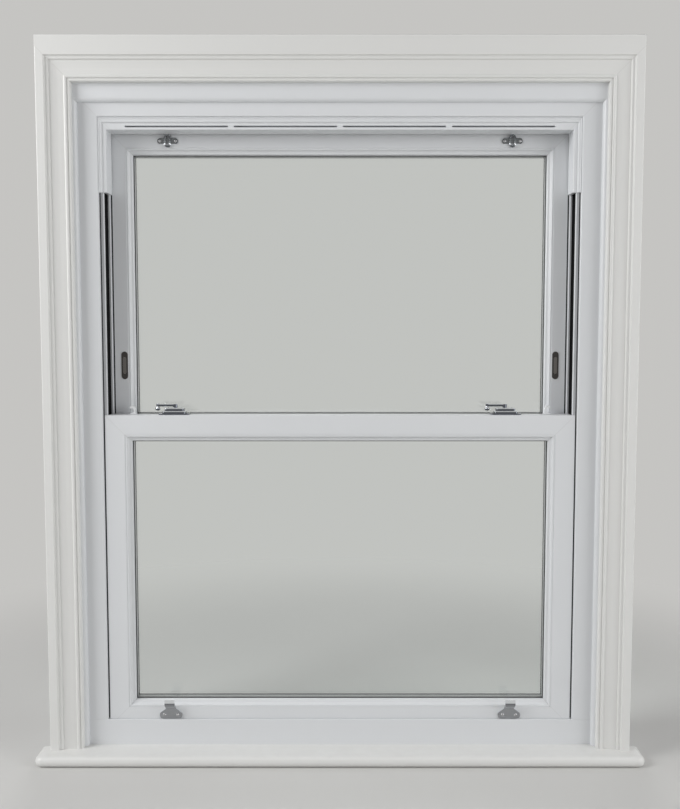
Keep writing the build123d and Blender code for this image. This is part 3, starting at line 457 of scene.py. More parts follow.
def stretched(tree, position, stretch):
    """Coordinates that are longer along some axes."""
    return wire(
        tree, "ShaderNodeVectorMath", {0: position, 1: stretch}, operation="MULTIPLY"
    ).outputs[0]


def upward(tree):
    """How far a face looks up, from 0 for an upright face to 1 for a level one."""
    return part_of(tree, wire(tree, "ShaderNodeTexCoord").outputs["Normal"], "Z")


def shader_group(name, inputs, outputs):
    """Node group with named sockets, its inputs, and a function that sets an output."""
    group = bpy.data.node_groups.new(name, "ShaderNodeTree")
    for label, kind, value in inputs:
        socket = group.interface.new_socket(label, in_out="INPUT", socket_type=kind)
        if value is not None:
            socket.default_value = value
    for label in outputs:
        group.interface.new_socket(label, in_out="OUTPUT", socket_type="NodeSocketFloat")
    entry = group.nodes.new("NodeGroupInput")
    leave = group.nodes.new("NodeGroupOutput")

    def put_out(label, source):
        group.links.new(source, leave.inputs[label])

    return group, entry.outputs, put_out


def brushed_paint_group():
    """Faint ridges along a painted bar, with a sheen that varies."""
    group, given, put_out = shader_group(
        "Brushed Paint",
        [
            ("Position", "NodeSocketVector", None),
            ("Stretch", "NodeSocketVector", None),
            ("Sheen", "NodeSocketFloat", 0.3),
        ],
        ["Height", "Roughness"],
    )
    drawn = stretched(group, given["Position"], given["Stretch"])
    put_out("Height", noise(group, drawn, 1.0, 3.0, Roughness=0.6))
    sheen = patchy(group, given["Sheen"], given["Position"], 9.0, 2.0, -0.05, 0.05)
    put_out("Roughness", sheen)
    return group


def moulded_plastic_group():
    """Fine even grain of extruded or moulded plastic."""
    group, given, put_out = shader_group(
        "Moulded Plastic",
        [
            ("Position", "NodeSocketVector", None),
            ("Fineness", "NodeSocketFloat", 900.0),
            ("Sheen", "NodeSocketFloat", 0.3),
        ],
        ["Height", "Roughness"],
    )
    put_out("Height", noise(group, given["Position"], given["Fineness"], 2.0))
    sheen = patchy(group, given["Sheen"], given["Position"], 6.0, 3.0, -0.02, 0.02)
    put_out("Roughness", sheen)
    return group


def mitre_seam_group():
    """Line across each mitred corner of a rectangular frame that stands in X and Z."""
    group, given, put_out = shader_group(
        "Mitre Seam",
        [
            ("Position", "NodeSocketVector", None),
            ("Half Width", "NodeSocketFloat", 0.5),
            ("Foot", "NodeSocketFloat", 0.0),
            ("Head", "NodeSocketFloat", 1.0),
            ("Seam Width", "NodeSocketFloat", 0.001),
        ],
        ["Mask"],
    )
    side = maths(group, "ABSOLUTE", part_of(group, given["Position"], "X"))
    level = part_of(group, given["Position"], "Z")
    inset = maths(group, "SUBTRACT", given["Half Width"], side)
    rise = maths(group, "SUBTRACT", level, given["Foot"])
    drop = maths(group, "SUBTRACT", given["Head"], level)
    foot_line = maths(group, "ABSOLUTE", maths(group, "SUBTRACT", inset, rise))
    head_line = maths(group, "ABSOLUTE", maths(group, "SUBTRACT", inset, drop))
    nearest = maths(group, "MINIMUM", foot_line, head_line)
    seam = eased(group, nearest, 0.0, given["Seam Width"], To_Min=1.0, To_Max=0.0)
    put_out("Mask", seam)
    return group


def settled_dust_group():
    """Mask of the dust on faces that look up."""
    group, given, put_out = shader_group(
        "Settled Dust",
        [("Position", "NodeSocketVector", None), ("Amount", "NodeSocketFloat", 0.2)],
        ["Mask"],
    )
    level = eased(group, upward(group), 0.7, 0.98)
    clumps = wire(
        group, "ShaderNodeMapRange",
        {"Value": noise(group, given["Position"], 38.0, 6.0, Roughness=0.7),
         "From Min": 0.35, "From Max": 0.75},
    )
    lying = maths(group, "MULTIPLY", level, clumps.outputs[0])
    put_out("Mask", maths(group, "MULTIPLY", lying, given["Amount"]))
    return group


def handled_metal_group():
    """Smears and hairlines that make polished metal uneven."""
    group, given, put_out = shader_group(
        "Handled Metal",
        [("Position", "NodeSocketVector", None), ("Polish", "NodeSocketFloat", 0.1)],
        ["Roughness", "Height"],
    )
    sheen = patchy(group, given["Polish"], given["Position"], 70.0, 4.0, -0.05, 0.12)
    put_out("Roughness", sheen)
    put_out("Height", noise(group, given["Position"], 520.0, 2.0))
    return group


def painted_reflection_group():
    """Painted reflection on plated metal, bright where a face looks up and dark where it
    stands.
    """
    group, given, put_out = shader_group(
        "Painted Reflection",
        [("Low", "NodeSocketFloat", 0.1), ("High", "NodeSocketFloat", 0.6)],
        ["Tone"],
    )
    put_out("Tone", eased(group, upward(group), given["Low"], given["High"]))
    return group


def side_band_group():
    """Mask of a band that lies a set distance from the middle of the window."""
    group, given, put_out = shader_group(
        "Side Band",
        [
            ("Position", "NodeSocketVector", None),
            ("Start", "NodeSocketFloat", 0.0),
            ("End", "NodeSocketFloat", 1.0),
        ],
        ["Mask"],
    )
    side = maths(group, "ABSOLUTE", part_of(group, given["Position"], "X"))
    put_out("Mask", within(group, side, given["Start"], given["End"]))
    return group


GROUP_MAKERS = {
    "Brushed Paint": brushed_paint_group,
    "Moulded Plastic": moulded_plastic_group,
    "Mitre Seam": mitre_seam_group,
    "Settled Dust": settled_dust_group,
    "Handled Metal": handled_metal_group,
    "Painted Reflection": painted_reflection_group,
    "Side Band": side_band_group,
}


def use_group(tree, name, values):
    """Outputs of a shared node group, which is made on its first use."""
    group = bpy.data.node_groups.get(name) or GROUP_MAKERS[name]()
    return wire(tree, "ShaderNodeGroup", values, node_tree=group).outputs


def new_material(name, **constants):
    """Material with a Principled shader, and its tree, shader and Object coordinates."""
    material = bpy.data.materials.new(name)
    material.use_nodes = True
    tree = material.node_tree
    shader = tree.nodes["Principled BSDF"]
    for label, value in constants.items():
        shader.inputs[label.replace("_", " ")].default_value = value
    place = wire(tree, "ShaderNodeTexCoord").outputs["Object"]
    return material, tree, shader, place


def add_bump(tree, shader, height, distance, strength=1.0):
    """Feed a height to the shader's normal."""
    bump = wire(
        tree, "ShaderNodeBump",
        {"Height": height, "Distance": distance, "Strength": strength},
    )
    tree.links.new(bump.outputs["Normal"], shader.inputs["Normal"])


def tinted(tree, base, over, mask):
    """Output of a colour mixed over a base by a mask."""
    return wire(
        tree, "ShaderNodeMix", {"A": base, "B": over, "Factor": mask}, data_type="RGBA"
    ).outputs["Result"]


def soiled(tree, place, clean, dust_colour, seam):
    """Clean colour with its dust and its darker mitre seams."""
    amount = bpy.context.scene.sash_window_finish.dust
    dust = use_group(tree, "Settled Dust", {"Position": place, "Amount": amount})
    return tinted(tree, clean, dust_colour, maths(tree, "MAXIMUM", seam, dust["Mask"]))


def plastic_finish(name, half_width, foot, head, shaded_pockets=False):
    """White plastic of a mitred frame, with a cleaned seam at its corners, and painted
    shade deep in the sash channels if shaded_pockets is set.
    """
    finish = bpy.context.scene.sash_window_finish
    material, tree, shader, place = new_material(name)
    grain = use_group(
        tree, "Moulded Plastic",
        {"Position": place, "Fineness": FRAME_GRAIN, "Sheen": finish.plastic_roughness},
    )
    seam = use_group(
        tree, "Mitre Seam",
        {"Position": place, "Half Width": half_width, "Foot": foot, "Head": head,
         "Seam Width": finish.seam_width},
    )["Mask"]
    colour = soiled(
        tree, place, finish.plastic_colour, PLASTIC_DUST,
        maths(tree, "MULTIPLY", seam, PLASTIC_SEAM_SOIL),
    )
    # Painted shade: the plastic turns dark deep inside each sash channel, where shade falls
    if shaded_pockets:
        side = use_group(
            tree, "Side Band",
            {"Position": place, "Start": SHADED_POCKET_SIDE[0], "End": SHADED_POCKET_SIDE[1]},
        )["Mask"]
        deep = within(tree, part_of(tree, place, "Y"), *SHADED_POCKET_DEPTH)
        inside = maths(tree, "MULTIPLY", side, deep)
        colour = tinted(tree, colour, finish.pocket_painted_shade, inside)
    tree.links.new(colour, shader.inputs["Base Color"])
    tree.links.new(grain["Roughness"], shader.inputs["Roughness"])
    raised = maths(tree, "MULTIPLY", grain["Height"], FRAME_GRAIN_SHARE)
    sunk = maths(tree, "SUBTRACT", raised, seam)
    add_bump(tree, shader, sunk, SEAM_DEPTH, SEAM_STRENGTH)
    return material


def grained_finish(name, colour, sheen, fineness, strength):
    """Moulded plastic or rubber of one colour."""
    material, tree, shader, place = new_material(name)
    shader.inputs["Base Color"].default_value = colour
    grain = use_group(
        tree, "Moulded Plastic", {"Position": place, "Fineness": fineness, "Sheen": sheen}
    )
    tree.links.new(grain["Roughness"], shader.inputs["Roughness"])
    add_bump(tree, shader, grain["Height"], GRAIN_DEPTH, strength)
    return material


def metal_finish(name, polish, hairline=None):
    """Metal that handling made uneven, and its tree, shader and Object coordinates."""
    metal, tree, shader, place = new_material(name, Metallic=1.0)
    wear = use_group(tree, "Handled Metal", {"Position": place, "Polish": polish})
    tree.links.new(wear["Roughness"], shader.inputs["Roughness"])
    if hairline:
        add_bump(tree, shader, wear["Height"], *hairline)
    return metal, tree, shader, place


def plated_finish(name, shade, lip=None):
    """Polished chrome with a painted reflection; a lip between two heights gets a painted
    highlight and the metal below it painted shade.
    """
    hardware = bpy.context.scene.sash_window_hardware
    chrome, tree, shader, place = metal_finish(
        name, hardware.chrome_roughness, CHROME_HAIRLINE
    )
    tone = use_group(
        tree, "Painted Reflection", {"Low": PAINTED_REFLECTION_LOW, "High": PAINTED_REFLECTION_HIGH}
    )["Tone"]
    # Painted highlight on the band between foot and head, and painted shade that deepens
    # toward it from below
    if lip:
        foot, head = lip
        height = part_of(tree, place, "Z")
        tone = maths(tree, "MAXIMUM", tone, within(tree, height, foot, head))
        under_lip_shade = wire(
            tree, "ShaderNodeMapRange",
            {"Value": height, "From Min": foot - hardware.lip_highlight_height, "From Max": foot,
             "To Max": UNDER_LIP_SHADE_SHARE},
        ).outputs[0]
        deep = maths(tree, "MULTIPLY", under_lip_shade, maths(tree, "LESS_THAN", height, foot))
        shade = tinted(tree, shade, hardware.casing_painted_shade, deep)
    colour = tinted(tree, shade, hardware.chrome_painted_highlight, tone)
    tree.links.new(colour, shader.inputs["Base Color"])
    return chrome


def dress(names, material):
    """Give a finish to CAD nodes."""
    for name in names:
        piece = CAD[name]
        if not piece.material_slots:
            piece.data.materials.append(None)
        for place in piece.material_slots:
            place.link = "OBJECT"
            place.material = material


def box_of(names):
    """Lowest and highest corner of several CAD nodes."""
    boxes = [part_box(name) for name in names]
    low = [min(box[0][axis] for box in boxes) for axis in range(3)]
    high = [max(box[1][axis] for box in boxes) for axis in range(3)]
    return Vector(low), Vector(high)


def mesh_of(shape, name):
    """Mesh of a finished bmesh, which is freed."""
    mesh = bpy.data.meshes.new(name)
    shape.to_mesh(mesh)
    shape.free()
    return mesh


def new_piece(name, mesh, material):
    """Object of a smooth mesh with one material."""
    mesh.materials.append(material)
    mesh.shade_smooth()
    mesh.set_sharp_from_angle(angle=CREASE_ANGLE)
    piece = bpy.data.objects.new(name, mesh)
    bpy.context.scene.collection.objects.link(piece)
    return piece


def round_off(shape, geometry, radius, steps, affect="EDGES"):
    """Round edges or corners of a bmesh."""
    bmesh.ops.bevel(
        shape, geom=geometry, offset=radius, offset_type="OFFSET", segments=steps,
        profile=0.5, affect=affect, material=-1,
    )


class SASH_OT_surround(bpy.types.Operator):
    """Paint the moulded surround and the window board"""

    bl_idname = "sash_window.surround"
    bl_label = "Surround and Board"

    def execute(self, context):
        finish = context.scene.sash_window_finish
        low, high = box_of(SURROUND)
        seam_place = {
            "Half Width": high.x,
            "Foot": low.z - NO_FOOT_SEAM,
            "Head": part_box("architrave_left")[1].z,
            "Seam Width": PAINT_SEAM_WIDTH_SHARE * finish.seam_width,
        }
        for label, names, strokes in (
            ("Painted Upright", SURROUND[:2], UPRIGHT_STROKES),
            ("Painted Head", SURROUND[2:], HEAD_STROKES),
            ("Painted Board", ["window_board"], BOARD_STROKES),
        ):
            material, tree, shader, place = new_material(label)
            paint = use_group(
                tree, "Brushed Paint",
                {"Position": place, "Stretch": strokes, "Sheen": finish.paint_roughness},
            )
            seam = use_group(tree, "Mitre Seam", {"Position": place, **seam_place})
            colour = soiled(
                tree, place, finish.paint_colour, PAINT_DUST,
                maths(tree, "MULTIPLY", seam["Mask"], PAINT_SEAM_SOIL),
            )
            tree.links.new(colour, shader.inputs["Base Color"])
            tree.links.new(paint["Roughness"], shader.inputs["Roughness"])
            add_bump(tree, shader, paint["Height"], finish.brush_depth)
            dress(names, material)
        return {"FINISHED"}


class SASH_OT_box_frame(bpy.types.Operator):
    """Finish the linings, the box frame and its trims in white plastic"""

    bl_idname = "sash_window.box_frame"
    bl_label = "Box Frame"

    def execute(self, context):
        low, high = box_of(["frame_head"])
        foot = low.z - NO_FOOT_SEAM
        dress(BOX_FRAME, plastic_finish("Frame Plastic", high.x, foot, high.z))
        # The jambs carry painted shade deep in their sash channels
        dress(JAMBS, plastic_finish("Jamb Plastic", high.x, foot, high.z, shaded_pockets=True))
        lining_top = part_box("lining_left")[1].z
        dress(LININGS, plastic_finish("Lining Plastic", high.x, foot, lining_top))
        return {"FINISHED"}


class SASH_OT_sashes(bpy.types.Operator):
    """Finish the bars, beads and interlocks of both sashes in white plastic"""

    bl_idname = "sash_window.sashes"
    bl_label = "Sashes"

    def execute(self, context):
        for title, bars, side in (
            ("Lower Sash", LOWER_SASH, "lower"),
            ("Upper Sash", UPPER_SASH, "upper"),
        ):
            low, high = box_of(bars)
            bar_plastic = plastic_finish(f"{title} Plastic", high.x, low.z, high.z)
            dress(bars + [f"{side}_interlock"], bar_plastic)
            bead_plastic = plastic_finish(f"{title} Beads", high.x, low.z, high.z)
            dress([f"{side}_glazing_beads"], bead_plastic)
        return {"FINISHED"}


class SASH_OT_glazing(bpy.types.Operator):
    """Give the panes, their spacers and their gaskets their finish"""

    bl_idname = "sash_window.glazing"
    bl_label = "Glazing"

    def execute(self, context):
        finish = context.scene.sash_window_finish
        glass, tree, shader, _ = new_material(
            "Clear Glass", Roughness=0.0, IOR=1.5, Transmission_Weight=1.0
        )
        shader.inputs["Base Color"].default_value = finish.glass_colour
        rays = wire(tree, "ShaderNodeLightPath")
        clear = wire(tree, "ShaderNodeBsdfTransparent", {"Color": finish.glass_colour})
        mix = wire(
            tree, "ShaderNodeMixShader",
            {0: rays.outputs["Is Shadow Ray"], 1: shader.outputs[0], 2: clear.outputs[0]},
        )
        tree.links.new(mix.outputs[0], tree.nodes["Material Output"].inputs["Surface"])
        dress(["lower_glass_panes", "upper_glass_panes"], glass)

        spacer, tree, shader, _ = metal_finish("Spacer Bar", SPACER_POLISH)
        shader.inputs["Base Color"].default_value = SPACER_COLOUR
        dress(["lower_spacer", "upper_spacer"], spacer)

        rubber = grained_finish(
            "Black Gasket", finish.rubber_colour, finish.rubber_roughness, RUBBER_GRAIN,
            RUBBER_GRAIN_STRENGTH,
        )
        dress(["lower_glazing_gasket", "upper_glazing_gasket"], rubber)
        return {"FINISHED"}


class SASH_OT_seals(bpy.types.Operator):
    """Give the brush seals a dense upright pile, near black as painted shade in the slots,
    with a pale band across them
    """

    bl_idname = "sash_window.seals"
    bl_label = "Brush Seals"

    def execute(self, context):
        finish = context.scene.sash_window_finish
        pile, tree, shader, place = new_material("Brush Pile", Roughness=0.9)
        fibres = noise(tree, stretched(tree, place, FIBRE_STRETCH), 1.0, 1.0)
        tips = [min(1.0, FIBRE_TIP * part) for part in finish.pile_colour_and_shade[:3]] + [1.0]
        dark = tinted(tree, finish.pile_colour_and_shade, tips, fibres)
        pale_band = use_group(
            tree, "Side Band",
            {"Position": place, "Start": PALE_PILE_SIDE[0], "End": PALE_PILE_SIDE[1]},
        )["Mask"]
        # Pale in the band, near black elsewhere as painted shade of the slots
        colour = tinted(tree, dark, finish.pale_pile_colour, pale_band)
        tree.links.new(colour, shader.inputs["Base Color"])
        add_bump(tree, shader, fibres, FIBRE_DEPTH)
        dress(["pile_seals"], pile)
        return {"FINISHED"}


def casing_outline(shape, half_length, front, back, wall, rise):
    """Level face around the front and the sides of a casing, with round corners."""
    inner = half_length - wall
    places = (
        (-half_length, back), (-half_length, front), (half_length, front),
        (half_length, back), (inner, back), (inner, front + wall),
        (-inner, front + wall), (-inner, back),
    )
    points = [shape.verts.new((x, y, rise)) for x, y in places]
    shape.faces.new(points)
    inner_radius = max(CASING_CORNER - wall, TIGHTEST_CORNER)
    round_off(shape, points[1:3], CASING_CORNER, ROUND_STEPS, "VERTICES")
    round_off(shape, points[5:7], inner_radius, ROUND_STEPS, "VERTICES")


def casing_step(half_length, front, back, height, nose, sink):
    """Wall with a rounded top edge around the front and the sides of a casing."""
    shape = bmesh.new()
    casing_outline(shape, half_length, front, back, sink, 0.0)
    casing_outline(shape, half_length, front, back, CASING_SLOPE * height + sink, height)
    bmesh.ops.bridge_loops(shape, edges=shape.edges[:])
    bmesh.ops.recalc_face_normals(shape, faces=shape.faces[:])
    top = max(shape.faces, key=lambda face: face.calc_center_median().z)
    brow = []
    for edge in top.edges:
        wall = next(face for face in edge.link_faces if face is not top)
        if abs(wall.normal.z) < STANDING and wall.normal.y < BACKWARD:
            brow.append(edge)
    round_off(shape, brow, nose, ROUND_STEPS)
    bmesh.ops.recalc_face_normals(shape, faces=shape.faces[:])
    return mesh_of(shape, "casing step")


def casing_steps(side, hardware):
    """Two rounded steps over a fastener's casing."""
    low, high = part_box(f"fastener_base_{side}")
    foot = low.z + hardware.plate_thickness
    height = high.z - foot
    back = high.y - CASING_BACK_SETBACK
    waist = LOWER_STEP_SHARE * height
    steps = bmesh.new()
    for start, end, sink in (
        (0.0, waist, LOWER_STEP_SINK),
        (waist, height, UPPER_STEP_SINK),
    ):
        share = start / height
        length = CASING_LENGTH - share * (CASING_LENGTH - CASING_TOP_LENGTH)
        depth = CASING_WIDTH - share * (CASING_WIDTH - CASING_TOP_WIDTH)
        step = casing_step(
            length / 2, back - depth, back - CASING_CORNER, end - start,
            hardware.casing_round, sink,
        )
        step.transform(Matrix.Translation(((low.x + high.x) / 2, 0.0, foot + start)))
        steps.from_mesh(step)
        bpy.data.meshes.remove(step)
    return mesh_of(steps, f"fastener tiers {side}")


def lever_arm(node):
    """Rounded bar around a fastener lever's arm, from its knob to its hub."""
    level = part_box(node)[1].z - KNOB_RISE
    points = CAD[node].data.vertices
    spots = [point.co for point in points if point.co.z > level - ARM_FOOT / 2]
    knob = min(spot.x for spot in spots) + KNOB_RADIUS
    hub = max(spot.x for spot in spots) - HUB_RADIUS
    depth = (min(spot.y for spot in spots) + max(spot.y for spot in spots)) / 2
    size = (hub - knob + ARM_WIDTH, ARM_WIDTH, ARM_TOP + ARM_FOOT)
    middle = ((knob + hub) / 2, depth, level + (ARM_TOP - ARM_FOOT) / 2)
    shape = bmesh.new()
    bar = bmesh.ops.create_cube(shape, size=1.0)["verts"]
    bmesh.ops.scale(shape, verts=bar, vec=size)
    bmesh.ops.translate(shape, verts=bar, vec=middle)
    upright = [
        edge for edge in shape.edges
        if abs(edge.verts[0].co.z - edge.verts[1].co.z) > ARM_ROUND
    ]
    round_off(shape, upright, ARM_END_SHARE * ARM_WIDTH, ROUND_STEPS)
    shape.normal_update()
    rims = [
        edge for edge in shape.edges
        if any(abs(face.normal.z) > LEVEL for face in edge.link_faces)
    ]
    round_off(shape, rims, ARM_ROUND, ARM_ROUND_STEPS)
    bmesh.ops.recalc_face_normals(shape, faces=shape.faces[:])
    return mesh_of(shape, f"arm of {node}")


class SASH_OT_hardware(bpy.types.Operator):
    """Plate the lifts, fasteners, keepers and pole eyes, and finish the plastic hardware"""

    bl_idname = "sash_window.hardware"
    bl_label = "Hardware"

    def execute(self, context):
        hardware = context.scene.sash_window_hardware
        # Each plated finish is a copy with its own painted shade: keepers and lifts
        # lighter, pole eyes darker, fasteners darkest
        dress(KEEPERS, plated_finish("Keeper Chrome", hardware.chrome_painted_shade))
        # Painted highlight inside the bottom of each pole eye's bow, with painted shade
        # below it
        eye_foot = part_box("pole_eye_left")[0].z + hardware.eye_wire
        eye_highlight_band = (eye_foot, eye_foot + EYE_HIGHLIGHT_SHARE * hardware.lip_highlight_height)
        dress(POLE_EYES, plated_finish("Eye Chrome", hardware.eye_painted_shade, eye_highlight_band))
        # Painted highlight along the top of each lift, with painted shade below it
        lift_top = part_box("sash_lift_left")[1].z
        lift_highlight_band = (lift_top - hardware.lip_highlight_height, lift_top + hardware.lip_highlight_height)
        dress(LIFTS, plated_finish("Lift Chrome", hardware.chrome_painted_shade, lift_highlight_band))
        chrome = plated_finish("Fastener Chrome", hardware.casing_painted_shade)
        dress(FASTENERS, chrome)
        for side in ("left", "right"):
            steps = casing_steps(side, hardware)
            piece = new_piece(f"fastener_tiers_{side}", steps, chrome)
            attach(piece, "lower_sash")
            arm = lever_arm(f"fastener_lever_{side}")
            piece = new_piece(f"fastener_arm_{side}", arm, chrome)
            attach(piece, f"fastener_lever_{side}")
        for label, names, colour, sheen in SMALL_PLASTICS:
            plastic = grained_finish(
                label, colour, sheen, SMALL_GRAIN, SMALL_GRAIN_STRENGTH
            )
            dress(names, plastic)
        return {"FINISHED"}


def islands(node):
    """Box of each separate solid of a CAD node."""
    shape = bmesh.new()
    shape.from_mesh(CAD[node].data)
    bmesh.ops.remove_doubles(shape, verts=shape.verts, dist=MERGE_DISTANCE)
    seen = set()
    boxes = []
    for start in shape.verts:
        if start in seen:
            continue
        seen.add(start)
        front, found = [start], []
        while front:
            vert = front.pop()
            found.append(vert.co)
            for edge in vert.link_edges:
                other = edge.other_vert(vert)
                if other not in seen:
                    seen.add(other)
                    front.append(other)
        low = Vector([min(spot[axis] for spot in found) for axis in range(3)])
        high = Vector([max(spot[axis] for spot in found) for axis in range(3)])
        boxes.append((low, high))
    shape.free()
    return boxes


def screw_blank(radius, length, hardware):
    """Screw with a domed head that stands on its seat, and no recess."""
    shank = SHANK_SHARE * radius
    outline = [(part * radius, rise * hardware.head_height) for part, rise in HEAD_CURVE]
    outline += [(shank, 0.0), (shank, -length), (0.0, -length)]
    shape = bmesh.new()
    ring = [shape.verts.new((reach, 0.0, height)) for reach, height in outline]
    for start, end in zip(ring, ring[1:]):
        shape.edges.new((start, end))
    bmesh.ops.spin(
        shape, geom=shape.verts[:] + shape.edges[:], cent=(0, 0, 0), axis=(0, 0, 1),
        angle=math.tau, steps=hardware.head_segments, use_merge=True,
    )
    bmesh.ops.remove_doubles(shape, verts=shape.verts, dist=MERGE_DISTANCE)
    bmesh.ops.recalc_face_normals(shape, faces=shape.faces)
    return mesh_of(shape, "screw blank")


def cross_cutter(hardware):
    """Two crossed bars that cut the recess of a screw's head."""
    size = (2 * hardware.recess_reach, hardware.recess_width, 2 * hardware.recess_depth)
    shape = bmesh.new()
    for turn in (0.0, math.pi / 2):
        arm = bmesh.ops.create_cube(shape, size=1.0)["verts"]
        bmesh.ops.scale(shape, verts=arm, vec=size)
        bmesh.ops.translate(shape, verts=arm, vec=(0, 0, hardware.head_height))
        bmesh.ops.rotate(shape, verts=arm, matrix=Matrix.Rotation(turn, 3, "Z"))
    return mesh_of(shape, "cross cutter")


def screw_mesh(radius, length, hardware):
    """Screw with a cross in its head."""
    scene = bpy.context.scene
    blank = bpy.data.objects.new("screw blank", screw_blank(radius, length, hardware))
    cutter = bpy.data.objects.new("cross cutter", cross_cutter(hardware))
    scene.collection.objects.link(blank)
    scene.collection.objects.link(cutter)
    cut = blank.modifiers.new("Cross", "BOOLEAN")
    cut.operation = "DIFFERENCE"
    cut.solver = "EXACT"
    cut.use_self = True
    cut.object = cutter
    evaluated = blank.evaluated_get(bpy.context.evaluated_depsgraph_get())
    made = bpy.data.meshes.new_from_object(evaluated)
    bpy.data.objects.remove(blank)
    bpy.data.objects.remove(cutter)
    shape = bmesh.new()
    shape.from_mesh(made)
    bmesh.ops.remove_doubles(shape, verts=shape.verts, dist=2 * MERGE_DISTANCE)
    bmesh.ops.dissolve_degenerate(shape, edges=shape.edges[:], dist=MERGE_DISTANCE)
    shape.to_mesh(made)
    shape.free()
    return made


def placed_screw(low, high, hardware):
    """Screw in the box of a plain one, with its head on the side it is driven from."""
    size = high - low
    middle = (low + high) / 2
    axis = max(range(3), key=lambda index: size[index])
    radius = min(size[index] for index in range(3) if index != axis) / 2
    facing = Vector((0, 0, 0))
    facing[axis] = {0: -1.0 if middle.x > 0 else 1.0, 1: -1.0, 2: 1.0}[axis]
    screw = screw_mesh(radius, size[axis] - hardware.head_height, hardware)
    seat = middle + facing * (size[axis] / 2 - hardware.head_height)
    turn = facing.to_track_quat("Z", "Y").to_matrix().to_4x4()
    cross_turn = Matrix.Rotation(CROSS_TURN + CROSS_TURN_PER_METRE * middle.x, 4, "Z")
    screw.transform(Matrix.Translation(seat) @ turn @ cross_turn)
    return screw


class SASH_OT_screws(bpy.types.Operator):
    """Cross recessed screws in the place of the plain ones"""

    bl_idname = "sash_window.screws"
    bl_label = "Screws"

    def execute(self, context):
        hardware = context.scene.sash_window_hardware
        zinc, _, shader, _ = metal_finish("Plated Steel", ZINC_POLISH, ZINC_HAIRLINE)
        shader.inputs["Base Color"].default_value = ZINC_COLOUR
        dress(BALANCE_RODS, zinc)
        for node, body in SCREWS.items():
            merged = bmesh.new()
            for low, high in islands(node):
                screw = placed_screw(low, high, hardware)
                merged.from_mesh(screw)
                bpy.data.meshes.remove(screw)
            mesh = mesh_of(merged, node.replace("_", " "))
            piece = new_piece(f"{node}_crossed", mesh, zinc)
            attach(piece, body)
            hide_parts(node)
        return {"FINISHED"}


def seen_rays(tree):
    """Value of 1 for what the camera sees, also in metal and through glass."""
    rays = wire(tree, "ShaderNodeLightPath").outputs
    bent = maths(tree, "MAXIMUM", rays["Is Glossy Ray"], rays["Is Transmission Ray"])
    return maths(tree, "MAXIMUM", rays["Is Camera Ray"], bent)


def add_floor(scene, stage):
    """Pale floor that fades into the backdrop, and keeps the window's shadow."""
    disc = bmesh.new()
    bmesh.ops.create_circle(disc, cap_ends=True, segments=96, radius=FLOOR_RADIUS)
    bmesh.ops.translate(disc, verts=disc.verts, vec=(0.0, 0.0, -FLOOR_DROP))
    floor = bpy.data.objects.new("floor", mesh_of(disc, "floor"))
    scene.collection.objects.link(floor)
    material, tree, shader, place = new_material(
        "Pale Floor", Roughness=0.7, Specular_IOR_Level=0.2
    )
    shader.inputs["Base Color"].default_value = stage.floor_colour
    reach = wire(tree, "ShaderNodeVectorMath", {0: place}, operation="LENGTH")
    far = eased(tree, reach.outputs["Value"], *FLOOR_FADE)
    glow = wire(
        tree, "ShaderNodeEmission", {"Color": stage.backdrop_colour, "Strength": 1.0}
    )
    fade = wire(
        tree, "ShaderNodeMixShader",
        {0: maths(tree, "MULTIPLY", seen_rays(tree), far),
         1: shader.outputs[0], 2: glow.outputs[0]},
    )
    tree.links.new(fade.outputs[0], tree.nodes["Material Output"].inputs["Surface"])
    floor.data.materials.append(material)


def add_world(scene, stage):
    """Even light, with the backdrop's colour where it is seen."""
    world = bpy.data.worlds.new("Pale Room")
    world.use_nodes = True
    tree = world.node_tree
    light = tree.nodes["Background"]
    light.inputs["Color"].default_value = (1.0, 1.0, 1.0, 1.0)
    light.inputs["Strength"].default_value = stage.sky_strength
    backdrop = wire(
        tree, "ShaderNodeBackground", {"Color": stage.backdrop_colour, "Strength": 1.0}
    )
    choice = wire(
        tree, "ShaderNodeMixShader",
        {0: seen_rays(tree), 1: light.outputs[0], 2: backdrop.outputs[0]},
    )
    tree.links.new(choice.outputs[0], tree.nodes["World Output"].inputs["Surface"])
    scene.world = world


def add_lamp(scene, label, spot, size, power):
    """Square lamp that shines at the window and isn't seen itself."""
    data = bpy.data.lights.new(label, "AREA")
    data.shape = "SQUARE"
    data.size = size
    data.energy = power
    lamp = bpy.data.objects.new(label, data)
    lamp.location = spot
    aim = LAMP_TARGET - lamp.location
    lamp.rotation_euler = aim.to_track_quat("-Z", "Y").to_euler()
    lamp.visible_camera = False
    lamp.visible_transmission = False
    scene.collection.objects.link(lamp)
    return lamp


def add_camera(scene, stage):
    """Camera at the height and pitch of the photograph."""
    lens = bpy.data.cameras.new("Camera")
    lens.lens = stage.focal_length
    lens.clip_start = 0.05
    lens.clip_end = 100.0
    camera = bpy.data.objects.new("Camera", lens)
    camera.location = (0.0, -stage.eye_distance, stage.eye_height)
    camera.rotation_euler = (math.pi / 2 - stage.eye_pitch, 0.0, 0.0)
    scene.collection.objects.link(camera)
    scene.camera = camera


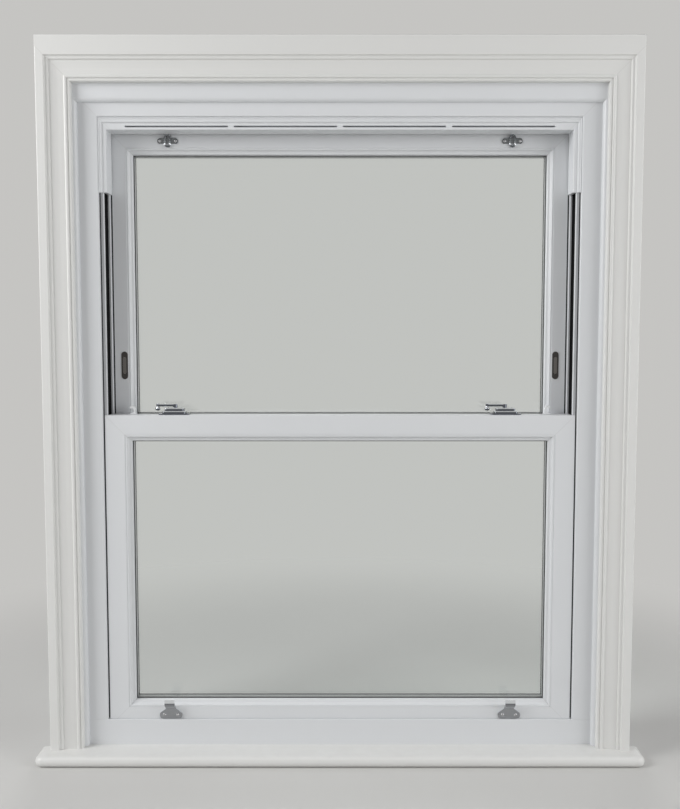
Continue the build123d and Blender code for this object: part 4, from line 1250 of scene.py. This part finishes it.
class SASH_OT_stage(bpy.types.Operator):
    """Floor, backdrop, lamps and camera"""

    bl_idname = "sash_window.stage"
    bl_label = "Stage"

    def execute(self, context):
        scene = context.scene
        stage = scene.sash_window_stage
        add_floor(scene, stage)
        add_world(scene, stage)
        add_lamp(scene, "Key Lamp", *KEY_LAMP, stage.key_power)
        add_lamp(scene, "Fill Lamp", *FILL_LAMP, stage.fill_power)
        rear = add_lamp(scene, "Rear Lamp", *REAR_LAMP, stage.rear_power)
        rear.data.spread = stage.rear_spread
        rear.visible_glossy = False
        add_camera(scene, stage)
        scene.view_settings.view_transform = "Standard"
        return {"FINISHED"}


STEPS = (
    SASH_OT_surround,
    SASH_OT_box_frame,
    SASH_OT_sashes,
    SASH_OT_glazing,
    SASH_OT_seals,
    SASH_OT_hardware,
    SASH_OT_screws,
    SASH_OT_stage,
)


class SASH_PT_window(bpy.types.Panel):
    """Sizes, colours and steps of the sash window"""

    bl_idname = "SASH_PT_window"
    bl_label = "Sash Window"
    bl_space_type = "VIEW_3D"
    bl_region_type = "UI"
    bl_category = "Sash Window"

    def draw(self, context):
        scene = context.scene
        for title, settings in (
            ("Finish", scene.sash_window_finish),
            ("Hardware", scene.sash_window_hardware),
            ("Stage", scene.sash_window_stage),
        ):
            box = self.layout.box()
            box.label(text=title)
            for name in settings.__annotations__:
                box.prop(settings, name)
        column = self.layout.column(align=True)
        for step in STEPS:
            column.operator(step.bl_idname)


SETTINGS = {
    "sash_window_finish": SashWindowFinish,
    "sash_window_hardware": SashWindowHardware,
    "sash_window_stage": SashWindowStage,
}


def register():
    """Register the settings, the steps and the panel."""
    for name, group in SETTINGS.items():
        bpy.utils.register_class(group)
        setattr(bpy.types.Scene, name, PointerProperty(type=group))
    for step in STEPS:
        bpy.utils.register_class(step)
    bpy.utils.register_class(SASH_PT_window)


def unregister():
    """Take out what register put in."""
    bpy.utils.unregister_class(SASH_PT_window)
    for step in reversed(STEPS):
        bpy.utils.unregister_class(step)
    for name, group in reversed(SETTINGS.items()):
        delattr(bpy.types.Scene, name)
        bpy.utils.unregister_class(group)


def main():
    """Build the dressed window."""
    register()
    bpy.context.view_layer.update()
    for step in STEPS:
        area, name = step.bl_idname.split(".")
        getattr(getattr(bpy.ops, area), name)()


if __name__ == "__main__":
    main()
